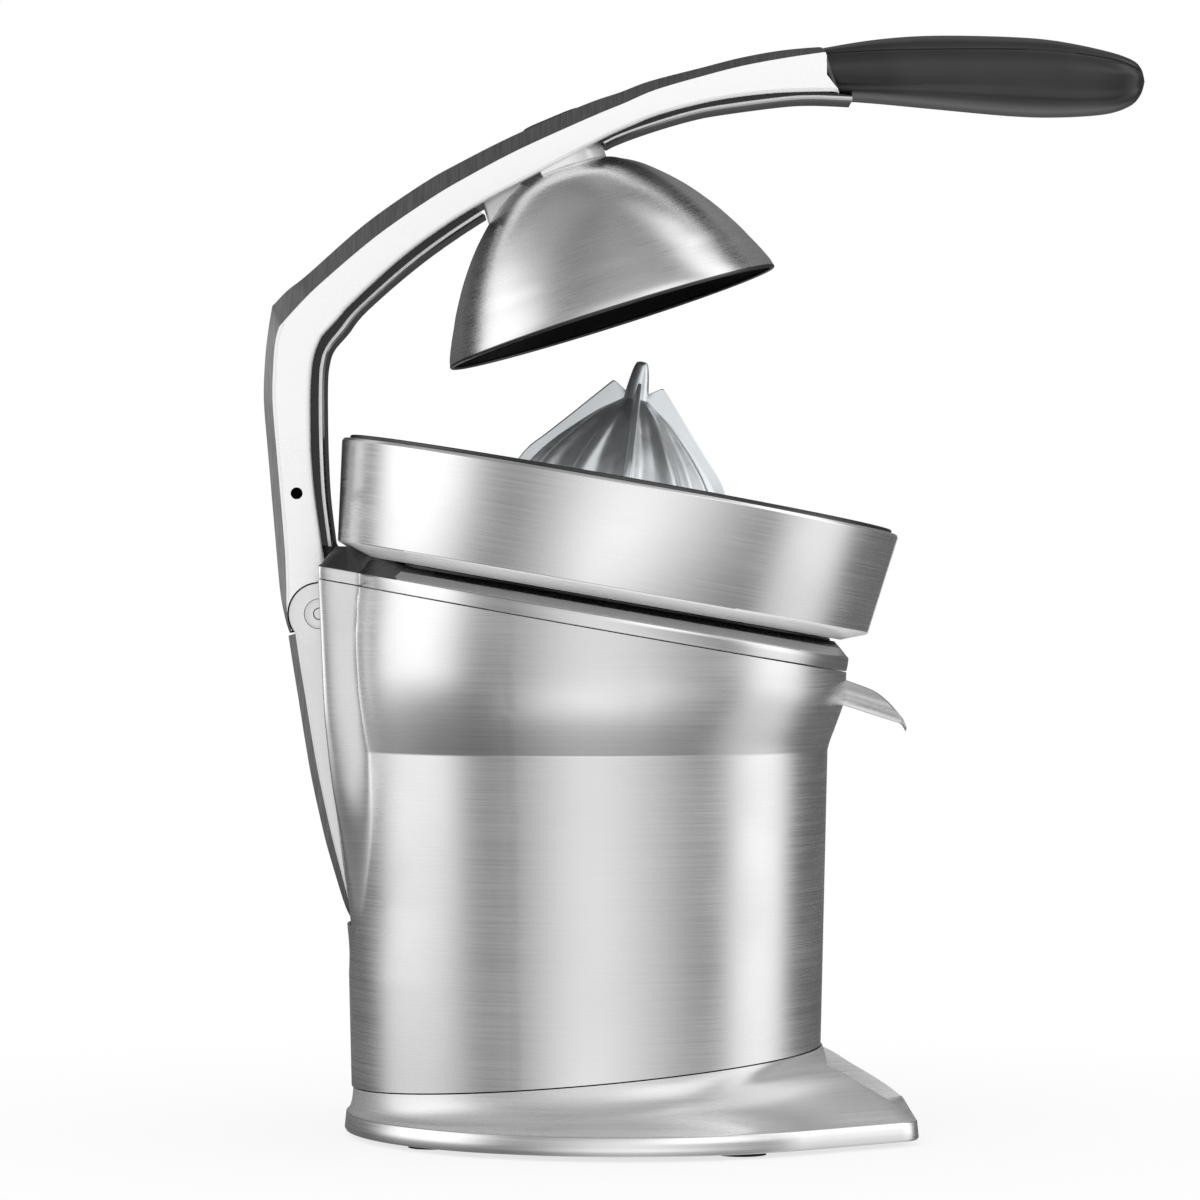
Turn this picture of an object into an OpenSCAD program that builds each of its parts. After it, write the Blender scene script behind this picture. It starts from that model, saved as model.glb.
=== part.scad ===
// Electric citrus press: a steel body on a cast foot, a juice bowl with a reamer on a tilted
// head, and a lever arm at the back that swings a pressing dome down over the reamer.
// X points to the spout, Z up, the origin is on the table under the middle of the body.

/* [Body] */
// Outside radius of the body at its crease
body_r = 91; // [84:1:92]
// Radius that the body loses from its crease down to its foot
body_taper = 2.8; // [0.5:0.1:5]
// Height of the crease above the table
crease_h = 145; // [140:1:148]
// Wall of the steel shell
shell_wall = 1.6; // [1:0.1:2.4]
// Height of the seam between body and foot, on the middle axis
foot_seam_h = 25.7; // [22:0.5:30]
// Tilt of that seam, rising to the front
foot_seam_tilt = 5; // [2:0.5:7]
// Half width of the spine at the back
spine_half_w = 34; // [30:1:40]

/* [Head] */
// Tilt of the bowl, the reamer and the drive
head_tilt = 10; // [7:0.5:12]
// Middle of the bowl's rim, in front of the body's axis
head_x = 12.5; // [8:0.5:14]
// Height of the middle of the bowl's rim
head_h = 244.6; // [244:0.5:256]
// Outside radius of the bowl at its rim
bowl_r = 107; // [100:1:108]
// Depth of the bowl under its rim
bowl_depth = 42.8; // [38:0.5:44]
// Sheet of the bowl
bowl_wall = 1.5; // [1:0.1:2.5]
// Outside radius of the body's trim ring
ring_r = 96.6; // [94:0.2:100]
// Height of the trim ring's edge
ring_h = 5.5; // [4:0.5:7]

/* [Reamer] */
// Height of the reamer's tip over the bowl's rim
reamer_tip_h = 48.1; // [40:0.5:49]
// Height of the whole reamer
reamer_h = 72; // [66:1:74]
// Radius of the reamer's skirt
reamer_r = 46; // [40:1:50]
// Radius of the drive spindle
spindle_r = 5; // [4:0.25:5.5]

/* [Foot] */
// Radius of the foot's round back
foot_r = 106; // [98:1:110]
// Reach of the foot in front of the body's axis
foot_reach = 123; // [118:1:130]
// Half width of the foot's blunt front
foot_front_half_w = 57; // [50:1:66]
// Height of the foot's lip
foot_lip_h = 7.5; // [6:0.5:10]

/* [Arm] */
// Distance from the knuckle to the end of the grip, along X
arm_reach = 312.4; // [300:1:320]
// Half width of the arm
arm_half_w = 18; // [17:0.5:19]
// Thickness of the arm's cheeks
arm_cheek = 3; // [2.5:0.25:3.5]
// Thickness of the arm's back and top
arm_skin = 3.8; // [3:0.2:5]
// Radius of the knuckle's head
knuckle_r = 11.5; // [10.5:0.25:11.5]
// Radius of the knuckle's pin
knuckle_pin_r = 3.5; // [2.5:0.25:4]
// Radius of the pressing dome at its rim
dome_r = 64.4; // [60:0.5:66]
// Height of the pressing dome
dome_h = 59.1; // [58:0.5:62]
// Sheet of the pressing dome
dome_wall = 1.2; // [0.8:0.1:1.6]
// Tilt of the dome with the arm up
dome_tilt = 17.5; // [16:0.5:19]

/* [Drive] */
// Module of all gear teeth
tooth_module = 1.5; // [1.4:0.05:1.5]
// Teeth of the motor's pinion
pinion_teeth = 9;
// Teeth of the idler's large gear
idler_teeth = 39;
// Teeth of the idler's small gear
idler_small_teeth = 12;
// Teeth of the output gear
output_teeth = 36;
// Outside radius of the motor
motor_r = 36; // [32:1:38]
// Length of the motor
motor_l = 62; // [56:1:66]

/* [Hidden] */
$fn = 72;
// Named clearances and small sizes
run_fit = 0.05;
gap = 0.5;
seat_gap = 0.3;
over = 1;
skin_eps = 0.01;

// Pivots of the arm's linkage, as [x, z]: A carries the rocker, B joins rocker and arm,
// D carries the strut and E joins strut and arm
pivot_a = [-88, 95.2];
pivot_b = [-100.8, 196.4];
pivot_d = [-81.6, 190.8];
pivot_e = [-109.3, 241.7];
dome_at = [9.6, 308.2];
pin_a_r = 3;
pin_d_r = 2.5;
pin_e_r = 2.25;
// Free play of the strut's upper eye, which takes up what the linkage needs
eye_play = 2.9;

// Side outlines were read in a level side view, in its own pixels, about the knuckle.
// What lies in front of the dome stretches with the arm's reach
px_size = 0.38;
knuckle_px = [322.3, 613.9];
stretch_from_px = 690;
grip_end_px = 1144.4;
fixed_reach = (stretch_from_px - knuckle_px[0]) * px_size;
front_step = (arm_reach - fixed_reach) / (grip_end_px - stretch_from_px);
function arm_x(px) = pivot_b[0] + (min(px, stretch_from_px) - knuckle_px[0]) * px_size
    + max(px - stretch_from_px, 0) * front_step;
function arm_pt(p) = [arm_x(p[0]), pivot_b[1] - (p[1] - knuckle_px[1]) * px_size];
function arm_pts(list) = [for (p = list) arm_pt(p)];

arm_outer_px = [[281.5, 600], [264.3, 400], [271.5, 307], [287.7, 290], [307, 275], [365, 224],
    [422, 184], [460, 162.5], [514.5, 135.1], [584.2, 104.9], [620, 92.7], [650, 80.2],
    [700, 68.8], [780, 50.9], [825.6, 47.6], [832, 56], [838.7, 75], [838.7, 90], [835, 95]];
arm_inner_px = [[812.6, 98], [780, 100.3], [715, 111], [650, 123], [601.2, 140.7],
    [525.4, 180.8], [460, 217.6], [422, 247], [364.8, 298], [345, 324], [331.3, 343],
    [325.6, 361.8], [323.9, 380], [323.7, 440], [323.7, 484], [333.9, 547], [341, 590]];
liner_from_px = 486;
liner_to_px = 800;
rocker_px = [[290.5, 637.5], [299.1, 700], [312.4, 780], [323.7, 831], [330.8, 857.6],
    [344, 901], [349.5, 915], [360, 900], [372, 878], [350, 640]];
strip_end_px = [[290.5, 637.5], [299.1, 700], [312.4, 780], [323.7, 831], [330.8, 857.6],
    [344, 901], [349.5, 915], [353, 908], [341.5, 853], [334, 826], [322, 776], [309, 697],
    [300, 640]];
grip_px = [[820, 49], [877.7, 40.2], [933, 36.3], [1007.8, 37.9], [1056.6, 42.1],
    [1105.4, 52.5], [1134.6, 62.3], [1141, 68.8], [1144.4, 81.8], [1138, 94.8],
    [1118.4, 106.2], [1082.6, 115], [1040.3, 116.9], [1001, 115.3], [962, 112],
    [910, 105.5], [858, 100.7], [814, 98.6], [820, 90]];
lug_angles = [190, 10];
lug_top_px = [[331, 530], [279, 530]];
grip_start_px = 810;
button_px = [550.5, 121.2];
button_angle = 22.9;
tail_r = 14.2;
tail_gap_angles = [210, 270, 330, 40, 95];

// Widths across the linkage, from the middle outwards
frame_gap_half_w = arm_half_w + gap * 2;
frame_plate = 2;
slot_half_w = frame_gap_half_w + frame_plate + skin_eps;
rocker_cheek = 4;
lug_plate = 4;
strut_half_w = 5;
strut_half_t = 3.4;

// Head levels, along the head's axis from the bowl's rim
seam_w = -52.4;
ring_top_w = seam_w + ring_h;
deck_t = 2;
deck_drop = 1.5;
deck_w = ring_top_w - deck_drop - deck_t;
cover_w = -66;
cover_t = 3;
housing_w = -106;
housing_wall = 2.5;
housing_floor = 2.5;
housing_room = 5;
gear_t = 9;
output_w = -84;
idler_w = -99;
half_share = 0.5;
axis_gap = tooth_module * (output_teeth + idler_small_teeth) * half_share;
output_r = tooth_module * output_teeth * half_share;
idler_r = tooth_module * idler_teeth * half_share;
pinion_top_w = idler_w + gear_t;
chimney_r = 10;
chimney_top_w = -25;
hub_r = chimney_r + gap + bowl_wall;
idler_axle_r = 3;
motor_shaft_r = 4;
motor_flange = 2;
motor_top_w = housing_w;
motor_bottom_w = motor_top_w - motor_l;
outlet_u = 75;
outlet_r = 7;

// Spout
spout_slope = 17.8;
spout_r = 12;
spout_wall = 1.4;
spout_root = [96, 162];
spout_end = [120.3, 154.2];
spout_cut_shares = [[-0.9, 0.5], [-0.02, 0.76], [0.38, 0.72], [0.58, 0.59], [0.8, 0.31],
    [0.95, 0.12], [1, 0.06], [1, -1.5], [-0.9, -1.5]];

// Screws, feet and small parts
screw_r = 1.75;
screw_head_r = 3.4;
screw_head_h = 2.4;
foot_pad_r = 9;
pad_step = 2;
foot_clear = 1.5;
plate_t = 2;
foot_pad_h = foot_clear + plate_t;
plate_inset = 5;
boss_r = 5;
board_t = 1.6;

function on_circle(r, a) = [r * cos(a), r * sin(a)];
function wall_r(z) = body_r - body_taper * (crease_h - z) / (crease_h - foot_seam_h);

// A smooth curve through a few points
function spline_pt(p, i, t) =
    let (n = len(p), a = p[max(i - 1, 0)], b = p[i], c = p[min(i + 1, n - 1)],
         d = p[min(i + 2, n - 1)])
    (2 * b + (c - a) * t + (2 * a - 5 * b + 4 * c - d) * pow(t, 2)
        + (3 * b - a - 3 * c + d) * pow(t, 3)) / 2;
function smooth(p, steps) = concat(
    [for (i = [0 : len(p) - 2]) for (k = [0 : steps - 1]) spline_pt(p, i, k / steps)],
    [p[len(p) - 1]]);
function reversed(p) = [for (i = [len(p) - 1 : -1 : 0]) p[i]];
function shifted(p, d) = [for (q = p) q + d];

// Carries its children into the tilted frame of the bowl, with its rim at zero
module head() {
    translate([head_x, 0, head_h]) rotate([0, head_tilt, 0]) children();
}

// Carries its children into the frame of the dome's rim
module dome_frame() {
    translate([dome_at[0], 0, dome_at[1]]) rotate([0, -dome_tilt, 0]) children();
}

// A side outline in X and Z, made solid between two places across the object
module slab(y0, y1) {
    translate([0, y1, 0]) rotate([90, 0, 0]) linear_extrude(y1 - y0) children();
}

// The same slab on both sides
module slab_pair(y0, y1) {
    slab(y0, y1) children();
    slab(-y1, -y0) children();
}

module disc_at(p, r) {
    translate(p) circle(r);
}

module cross_pin(p, r, half_l) {
    slab(-half_l, half_l) disc_at(p, r);
}

module ring_solid(r0, r1, h) {
    difference() {
        cylinder(r = r1, h = h);
        translate([0, 0, -over]) cylinder(r = r0, h = h + 2 * over);
    }
}

// Half space above the seam between foot and body
module above_foot_seam() {
    translate([0, 0, foot_seam_h]) rotate([0, -foot_seam_tilt, 0])
        translate([-2 * foot_reach, -2 * foot_reach, 0])
            cube([4 * foot_reach, 4 * foot_reach, head_h * 2]);
}

// Body without its hollow: a slightly tapered barrel, a swelling cup and the spine
bulge_h = 12;
bulge_r = 5;
seat_lap = 0.4;
barrel_n = 96;
cup_n = 72;
module barrel_solid(inset) {
    hull() {
        cylinder(r = wall_r(0) - inset, h = skin_eps, $fn = barrel_n);
        translate([0, 0, crease_h]) cylinder(r = body_r - inset, h = skin_eps, $fn = barrel_n);
    }
}

module cup_solid(inset) {
    hull() {
        translate([0, 0, crease_h - seat_lap])
            cylinder(r = body_r - inset - seat_lap, h = skin_eps, $fn = cup_n);
        translate([0, 0, crease_h + bulge_h]) rotate([0, head_tilt / 3, 0])
            cylinder(r = body_r + bulge_r - inset, h = skin_eps, $fn = cup_n);
        head() translate([0, 0, seam_w - skin_eps])
            cylinder(r = ring_r - inset, h = skin_eps, $fn = cup_n);
    }
}

spine_px = [[322.5, 552], [322.8, 590], [324.7, 625], [328.2, 700], [330, 738], [333.4, 780],
    [338, 825], [341, 853], [349, 892], [351, 930]];
spine_front_x = -62;
spine_round = 7;
module spine_slice(p, inset) {
    q = arm_pt(p);
    half_w = spine_half_w - inset - spine_round;
    translate([0, 0, q[1]]) linear_extrude(skin_eps) {
        for (s = [-1, 1]) translate([q[0] + inset + spine_round, s * half_w])
            circle(spine_round, $fn = 32);
        translate([spine_front_x, -half_w - spine_round])
            square([skin_eps, 2 * (half_w + spine_round)]);
    }
}

module spine_solid(inset) {
    for (i = [0 : len(spine_px) - 2]) hull() {
        spine_slice(spine_px[i], inset);
        spine_slice(spine_px[i + 1], inset);
    }
}

module under_ring_seam() {
    head() translate([-2 * ring_r, -2 * ring_r, seam_w - 3 * head_h])
        cube([4 * ring_r, 4 * ring_r, 3 * head_h]);
}

module linkage_slot(half_w) {
    translate([-2 * body_r, -half_w, pivot_a[1] - slot_below])
        cube([2 * body_r + slot_front_x, 2 * half_w, head_h]);
}
slot_below = 16;
slot_front_x = -66;

module spout_hole() {
    translate([spout_root[0], 0, spout_root[1]]) rotate([0, spout_slope, 0])
        intersection() {
            translate([-spout_r, 0, spout_r]) rotate([0, 90, 0])
                cylinder(r = spout_r + seat_gap, h = 2 * spout_r);
            translate([-spout_r, -2 * spout_r, -spout_r])
                cube([2 * spout_r, 4 * spout_r, spout_r * (1 + spout_mouth_share)]);
        }
}
spout_mouth_share = 0.78;

module body_shell() {
    color("silver") difference() {
        intersection() {
            union() {
                barrel_solid(0);
                cup_solid(0);
                spine_solid(0);
            }
            under_ring_seam();
            above_foot_seam();
        }
        barrel_solid(shell_wall);
        cup_solid(shell_wall);
        spine_solid(shell_wall);
        linkage_slot(slot_half_w);
        spout_hole();
        inlet_frame() cylinder(r = inlet_r, h = 2 * inlet_r, center = true);
    }
}

inlet_r = 6;
inlet_angle = 140;
inlet_h = 40;
inlet_flange = 1;
inlet_lip = 2;
inlet_wall = 2.5;
module inlet_frame() {
    rotate([0, 0, inlet_angle]) translate([wall_r(inlet_h) - shell_wall, 0, inlet_h])
        rotate([0, 90, 0]) children();
}

ear_px = [[322.5, 576], [323.2, 563], [326, 556], [333.9, 548], [345, 546.5], [357, 553],
    [382, 563.6], [372, 590]];
ring_bevel = 5;
deck_lap = 8;
module top_ring() {
    color("silver") difference() {
        union() {
            head() rotate_extrude() polygon([[ring_r - deck_lap, seam_w], [ring_r, seam_w],
                [ring_r + ring_lean, ring_top_w - ring_lean],
                [ring_r, ring_top_w], [ring_r - ring_bevel, ring_top_w + ring_lean],
                [ring_r - ring_bevel - ring_lean, ring_top_w + ring_lean],
                [ring_r - deck_lap, ring_top_w - ring_lean]]);
            difference() {
                slab_pair(slot_half_w, spine_half_w) polygon(arm_pts(ear_px));
                under_ring_seam();
                head() translate([0, 0, seam_w - over])
                    cylinder(r = ring_r - deck_lap, h = head_h);
            }
        }
        linkage_slot(slot_half_w);
    }
}
ring_lean = 1;

module top_deck() {
    color("dimgray") difference() {
        union() {
            head() translate([0, 0, deck_w]) cylinder(r = deck_r, h = deck_t);
            head() translate([0, 0, deck_w]) ring_solid(deck_r - seat_rib_t, deck_r,
                -bowl_depth - seat_gap - deck_w);
            head() translate([0, 0, deck_w]) cylinder(r = chimney_r, h = chimney_top_w - deck_w);
            for (p = deck_posts) head() translate([p[0], p[1], cover_w])
                cylinder(r = boss_r, h = deck_w - cover_w + deck_t);
            head() translate([outlet_u, 0, deck_w - outlet_drop])
                cylinder(r = outlet_r + deck_t, h = outlet_drop + deck_t);
        }
        head() translate([0, 0, deck_w - over])
            cylinder(r = bush_r, h = chimney_top_w - deck_w + 2 * over);
        head() translate([outlet_u, 0, deck_w - outlet_drop - over])
            cylinder(r = outlet_r, h = outlet_drop + deck_t + 2 * over);
        linkage_slot(slot_half_w + gap);
        for (p = deck_posts) head() translate([p[0], p[1], cover_w - over])
            cylinder(r = screw_r, h = screw_l - cover_t + over);
    }
}
deck_r = ring_r - deck_lap - seat_gap;
seat_rib_t = 2.5;
post_off = boss_r - 1;
deck_posts = concat([for (a = [195, 270, 345]) on_circle(output_r + housing_room + post_off, a)],
    [[0, axis_gap + idler_r + housing_room + post_off]]);
outlet_drop = 3;
bush_r = 8;
seal_h = 4;

module deck_screws() {
    color("gainsboro") for (p = deck_posts) head()
        translate([p[0], p[1], cover_w - cover_t - screw_head_h]) screw();
}

// A round-headed screw that points up from its seat
screw_l = 9;
module screw() {
    cylinder(r = screw_head_r, h = screw_head_h);
    cylinder(r = screw_r, h = screw_head_h + screw_l);
}

module spindle_bush() {
    color("goldenrod") head() translate([0, 0, deck_w - cover_t])
        ring_solid(spindle_r + run_fit, bush_r, chimney_top_w - seal_h - deck_w + cover_t);
}

module spindle_seal() {
    color("black") head() translate([0, 0, chimney_top_w - seal_h])
        ring_solid(spindle_r + run_fit, bush_r, seal_h);
}

spindle_top_w = 22;
spindle_flat_share = 0.6;
module drive_spindle() {
    color("gainsboro") head() difference() {
        translate([0, 0, output_w]) cylinder(r = spindle_r, h = spindle_top_w - output_w);
        translate([spindle_r * spindle_flat_share, -spindle_r, chimney_top_w + seal_h])
            cube([spindle_r, 2 * spindle_r, spindle_top_w]);
    }
}

// Teeth stand with one at the given direction, or with a gap there
tooth_tip_share = 0.8;
tooth_root_share = 1.1;
tooth_half_shares = [0.3, 0.12];
function gear_phase(n, dir, at_gap) = dir - (360 / n) * floor(dir * n / 360)
    + (at_gap ? 180 / n : 0);
module gear_2d(n, dir, at_gap) {
    rp = tooth_module * n * half_share;
    tip = rp + tooth_module * tooth_tip_share;
    root = rp - tooth_module * tooth_root_share;
    step = 360 / n;
    start = gear_phase(n, dir, at_gap);
    polygon([for (i = [0 : n - 1]) for (k = [0 : 3])
        on_circle(k == 0 || k == 3 ? root : tip, start + i * step
            + step * (k < 2 ? -1 : 1) * tooth_half_shares[k == 0 || k == 3 ? 0 : 1])]);
}

output_gear_t = gear_t + 1;
module output_gear() {
    color("ivory") head() translate([0, 0, output_w]) linear_extrude(output_gear_t)
        difference() {
            gear_2d(output_teeth, 90, false);
            circle(spindle_r);
        }
}

module idler_gear() {
    color("ivory") head() translate([0, axis_gap, 0]) difference() {
        union() {
            translate([0, 0, idler_w]) linear_extrude(gear_t)
                gear_2d(idler_teeth, 270, true);
            translate([0, 0, idler_w]) linear_extrude(output_w + output_gear_t - idler_w)
                gear_2d(idler_small_teeth, 270, true);
        }
        translate([0, 0, housing_w])
            cylinder(r = idler_axle_r + run_fit, h = cover_w - housing_w);
    }
}

module idler_axle() {
    color("gainsboro") head() translate([0, axis_gap, housing_w])
        cylinder(r = idler_axle_r, h = cover_w - housing_w);
}

module motor_pinion() {
    color("goldenrod") head() translate([0, 0, idler_w]) linear_extrude(gear_t) difference() {
        gear_2d(pinion_teeth, 90, false);
        circle(motor_shaft_r);
    }
}

module housing_2d(inset) {
    circle(output_r + housing_room - inset);
    translate([0, axis_gap]) circle(idler_r + housing_room - inset);
}

module gear_housing() {
    color("dimgray") head() difference() {
        translate([0, 0, housing_w]) linear_extrude(cover_w - cover_t - housing_w)
            housing_2d(0);
        translate([0, 0, housing_w + housing_floor]) linear_extrude(cover_w - housing_w)
            housing_2d(housing_wall);
        translate([0, 0, housing_w - over])
            cylinder(r = motor_shaft_r + gap, h = housing_floor + 2 * over);
        translate([0, axis_gap, housing_w - over])
            cylinder(r = idler_axle_r, h = housing_floor + 2 * over);
    }
}

module gear_cover() {
    color("dimgray") head() difference() {
        union() {
            translate([0, 0, cover_w - cover_t]) linear_extrude(cover_t) housing_2d(0);
            for (p = deck_posts) translate([p[0], p[1], cover_w - cover_t])
                cylinder(r = boss_r, h = cover_t);
        }
        translate([0, 0, cover_w - cover_t - over])
            cylinder(r = spindle_r + gap, h = cover_t + 2 * over);
        translate([0, axis_gap, cover_w - cover_t - over])
            cylinder(r = idler_axle_r, h = cover_t + 2 * over);
        for (p = deck_posts) translate([p[0], p[1], cover_w - cover_t - over])
            cylinder(r = screw_r, h = cover_t + 2 * over);
    }
}

motor_wall = 1.5;
bearing_h = 8;
bearing_r = 11;
module motor_can() {
    color("lightslategray") head() translate([0, 0, motor_bottom_w]) difference() {
        cylinder(r = motor_r, h = motor_l);
        translate([0, 0, -over])
            cylinder(r = motor_r - motor_wall, h = motor_l - motor_flange + over);
        cylinder(r = bearing_r, h = motor_l + over);
    }
}

module motor_end_plate() {
    color("lightslategray") head() translate([0, 0, motor_bottom_w])
        difference() {
            cylinder(r = motor_r - motor_wall, h = motor_flange);
            translate([0, 0, -over]) cylinder(r = bearing_r, h = motor_flange + 2 * over);
        }
}

stack_l_share = 0.45;
stack_l = motor_l * stack_l_share;
stack_w = motor_bottom_w + (motor_l - stack_l) * half_share;
rotor_r = 20;
air_gap = 0.6;
winding_h = 7;
winding_r0 = 24;
winding_r1 = 31;
module stator_stack() {
    color("slategray") head() translate([0, 0, stack_w])
        ring_solid(rotor_r + air_gap, motor_r - motor_wall, stack_l);
}

module stator_windings() {
    color("peru") head() for (w = [stack_w - winding_h, stack_w + stack_l])
        translate([0, 0, w]) ring_solid(winding_r0, winding_r1, winding_h);
}

module rotor_core() {
    color("slategray") head() translate([0, 0, stack_w])
        ring_solid(motor_shaft_r, rotor_r, stack_l);
}

module rotor_shaft() {
    color("gainsboro") head() translate([0, 0, motor_bottom_w])
        cylinder(r = motor_shaft_r, h = pinion_top_w - motor_bottom_w);
}

module motor_bearings() {
    color("goldenrod") head() for (w = [motor_bottom_w, motor_top_w - bearing_h])
        translate([0, 0, w]) ring_solid(motor_shaft_r + run_fit, bearing_r, bearing_h);
}

// Bowl: a steel ring with a rounded lower edge and a floor with a hub
bowl_taper = 4.4;
bowl_side_share = 0.89;
bowl_turn_share = 0.93;
bowl_turn = 6.3;
bowl_floor_round = 8.4;
bowl_floor_r = bowl_r - bowl_turn - bowl_floor_round;
hub_top_w = -27;
rim_round = 1.2;
module juice_bowl() {
    color("silver") head() difference() {
        rotate_extrude() polygon([
            [hub_r - bowl_wall, -bowl_depth], [bowl_floor_r, -bowl_depth],
            [bowl_r - bowl_turn, -bowl_depth * bowl_turn_share],
            [bowl_r - bowl_taper, -bowl_depth * bowl_side_share], [bowl_r, -rim_round],
            [bowl_r - rim_round, 0], [bowl_r - 2 * bowl_wall, 0],
            [bowl_r - bowl_taper - bowl_wall, -bowl_depth * bowl_side_share],
            [bowl_r - bowl_turn - bowl_wall, -bowl_depth * bowl_turn_share + bowl_wall],
            [bowl_floor_r, -bowl_depth + bowl_wall], [hub_r, -bowl_depth + bowl_wall],
            [hub_r, hub_top_w], [hub_r - bowl_wall, hub_top_w]]);
        translate([outlet_u, 0, -bowl_depth - over])
            cylinder(r = outlet_r, h = bowl_wall + 2 * over);
    }
}

strainer_t = 1.2;
strainer_seat = 0.6;
strainer_rim_r = bowl_r - 2 * bowl_wall - strainer_seat;
strainer_rise = 1.4;
strainer_floor_w = -32;
strainer_floor_inset = 4.3;
strainer_floor_r = bowl_floor_r - strainer_floor_inset;
strainer_hole_r = 16;
slot_count = 40;
slot_w = 2;
slot_row_shares = [[0.386, 0.591], [0.636, 0.841]];
module strainer() {
    color("gainsboro") head() difference() {
        rotate_extrude() polygon([
            [strainer_hole_r, strainer_floor_w], [strainer_floor_r, strainer_floor_w],
            [strainer_rim_r, strainer_rise - strainer_t], [strainer_rim_r, strainer_rise],
            [strainer_rim_r - strainer_t, strainer_rise],
            [strainer_floor_r - strainer_t, strainer_floor_w + strainer_t],
            [strainer_hole_r, strainer_floor_w + strainer_t]]);
        for (i = [0 : slot_count - 1]) for (row = slot_row_shares * strainer_floor_r)
            rotate([0, 0, i * 360 / slot_count])
                translate([row[0], -slot_w / 2, strainer_floor_w - over])
                    cube([row[1] - row[0], slot_w, strainer_t + 2 * over]);
    }
}

// Reamer: shares of its radius and its height, from the tip down
reamer_body_shares = [[0, -0.0], [0.05, -0.005], [0.08, -0.05], [0.095, -0.175], [0.12, -0.235],
    [0.27, -0.31], [0.47, -0.435], [0.71, -0.6], [0.87, -0.76], [0.96, -0.9], [1, -1]];
reamer_fin_shares = [[0, -0.16], [0.11, -0.165], [0.2, -0.115], [0.31, -0.185], [0.46, -0.295],
    [0.68, -0.48], [0.87, -0.6], [0.96, -0.78], [1, -1], [0, -1]];
reamer_rib_shares = [[0, -0.2], [0.13, -0.225], [0.33, -0.32], [0.52, -0.44], [0.76, -0.6],
    [0.93, -0.78], [1, -1], [0, -1]];
reamer_wall = 2.5;
fin_count = 4;
fin_start_angle = 3;
fin_half_t = 2.4;
rib_half_t = 1.1;
reamer_hub_r = 8.5;
reamer_hub_w = -14;
reamer_roof_w = 30;
function scaled(shares, r, h) = [for (s = shares) [s[0] * r, s[1] * h]];
curve_steps = 3;
// A turned form as a stack of short cones
module stacked(profile) {
    for (i = [0 : len(profile) - 2]) hull() for (k = [i, i + 1])
        translate([0, 0, profile[k][1]]) cylinder(r = profile[k][0] + skin_eps, h = skin_eps);
}

module reamer() {
    h = reamer_h;
    bottom = reamer_tip_h - h;
    body = scaled(reamer_body_shares, reamer_r, h);
    color("silver") head() difference() {
        translate([0, 0, reamer_tip_h]) {
            stacked(smooth(body, curve_steps));
            for (i = [0 : fin_count - 1]) rotate([0, 0, i * 360 / fin_count + fin_start_angle]) {
                slab(-fin_half_t, fin_half_t)
                    polygon(scaled(reamer_fin_shares, reamer_r - fin_half_t / 4, h));
                for (turn = [1 : 2]) rotate([0, 0, turn * 360 / fin_count / 3])
                    slab(-rib_half_t, rib_half_t)
                        polygon(scaled(reamer_rib_shares, reamer_r - rib_half_t / 4, h));
            }
        }
        difference() {
            translate([0, 0, bottom - skin_eps]) cylinder(r1 = reamer_r - 2 * reamer_wall,
                r2 = reamer_hub_r, h = reamer_roof_w - reamer_wall - bottom);
            translate([0, 0, reamer_hub_w]) cylinder(r = reamer_hub_r, h = h);
        }
        translate([0, 0, bottom - over]) cylinder(r = spindle_r + run_fit,
            h = spindle_top_w + gap - bottom + over);
    }
}

module spout() {
    run = norm(spout_end - spout_root);
    color("silver") translate([spout_root[0], 0, spout_root[1]]) rotate([0, spout_slope, 0])
        intersection() {
            union() {
                translate([-run, 0, spout_r]) rotate([0, 90, 0])
                    ring_solid(spout_r - spout_wall, spout_r, 2 * run);
                translate([-run * spout_back_share, 0, spout_r]) rotate([0, 90, 0])
                    cylinder(r = spout_r - skin_eps, h = spout_wall);
            }
            slab(-spout_r, spout_r) polygon([for (s = spout_cut_shares)
                [s[0] * run, s[1] * spout_r]]);
        }
}
spout_back_share = 0.9;

// Linkage
module pivot_frame() {
    color("dimgray") difference() {
        union() {
            slab_pair(frame_gap_half_w, frame_gap_half_w + frame_plate) polygon(frame_points);
            translate([slot_front_x - frame_plate, -frame_gap_half_w - skin_eps,
                pivot_a[1] - slot_below])
                cube([frame_plate, 2 * (frame_gap_half_w + skin_eps), frame_h]);
            for (s = [-1, 1]) translate([flange_x, s * (slot_half_w + flange_w / 2), flange_z])
                translate([0, -flange_w / 2 - skin_eps * 4, 0])
                    cube([frame_plate, flange_w + skin_eps * 8, flange_h]);
        }
        cross_pin(pivot_a, pin_a_r, body_r);
        cross_pin(pivot_d, pin_d_r, body_r);
        for (z = frame_screw_z) for (s = [-1, 1])
            translate([flange_x - over, s * frame_screw_y, z]) rotate([0, 90, 0])
                cylinder(r = screw_r, h = frame_plate + 2 * over);
    }
}
frame_h = 122;
flange_x = -80.6;
flange_w = 9;
flange_z = 84;
flange_h = 52;
frame_points = [[slot_front_x, pivot_a[1] - slot_below],
    [slot_front_x, pivot_a[1] - slot_below + frame_h],
    arm_pt([327, 604]), arm_pt([332, 700]), arm_pt([337.5, 780]), arm_pt([345, 853]),
    arm_pt([355, 900])];

frame_screw_z = [92, 128];
frame_screw_y = 26;
module frame_screws() {
    color("gainsboro") for (z = frame_screw_z) for (s = [-1, 1])
        translate([flange_x + frame_plate + screw_head_h, s * frame_screw_y, z])
            rotate([0, -90, 0]) {
                cylinder(r = screw_head_r, h = screw_head_h);
                cylinder(r = screw_r, h = screw_head_h + frame_plate + over);
            }
}

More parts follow.
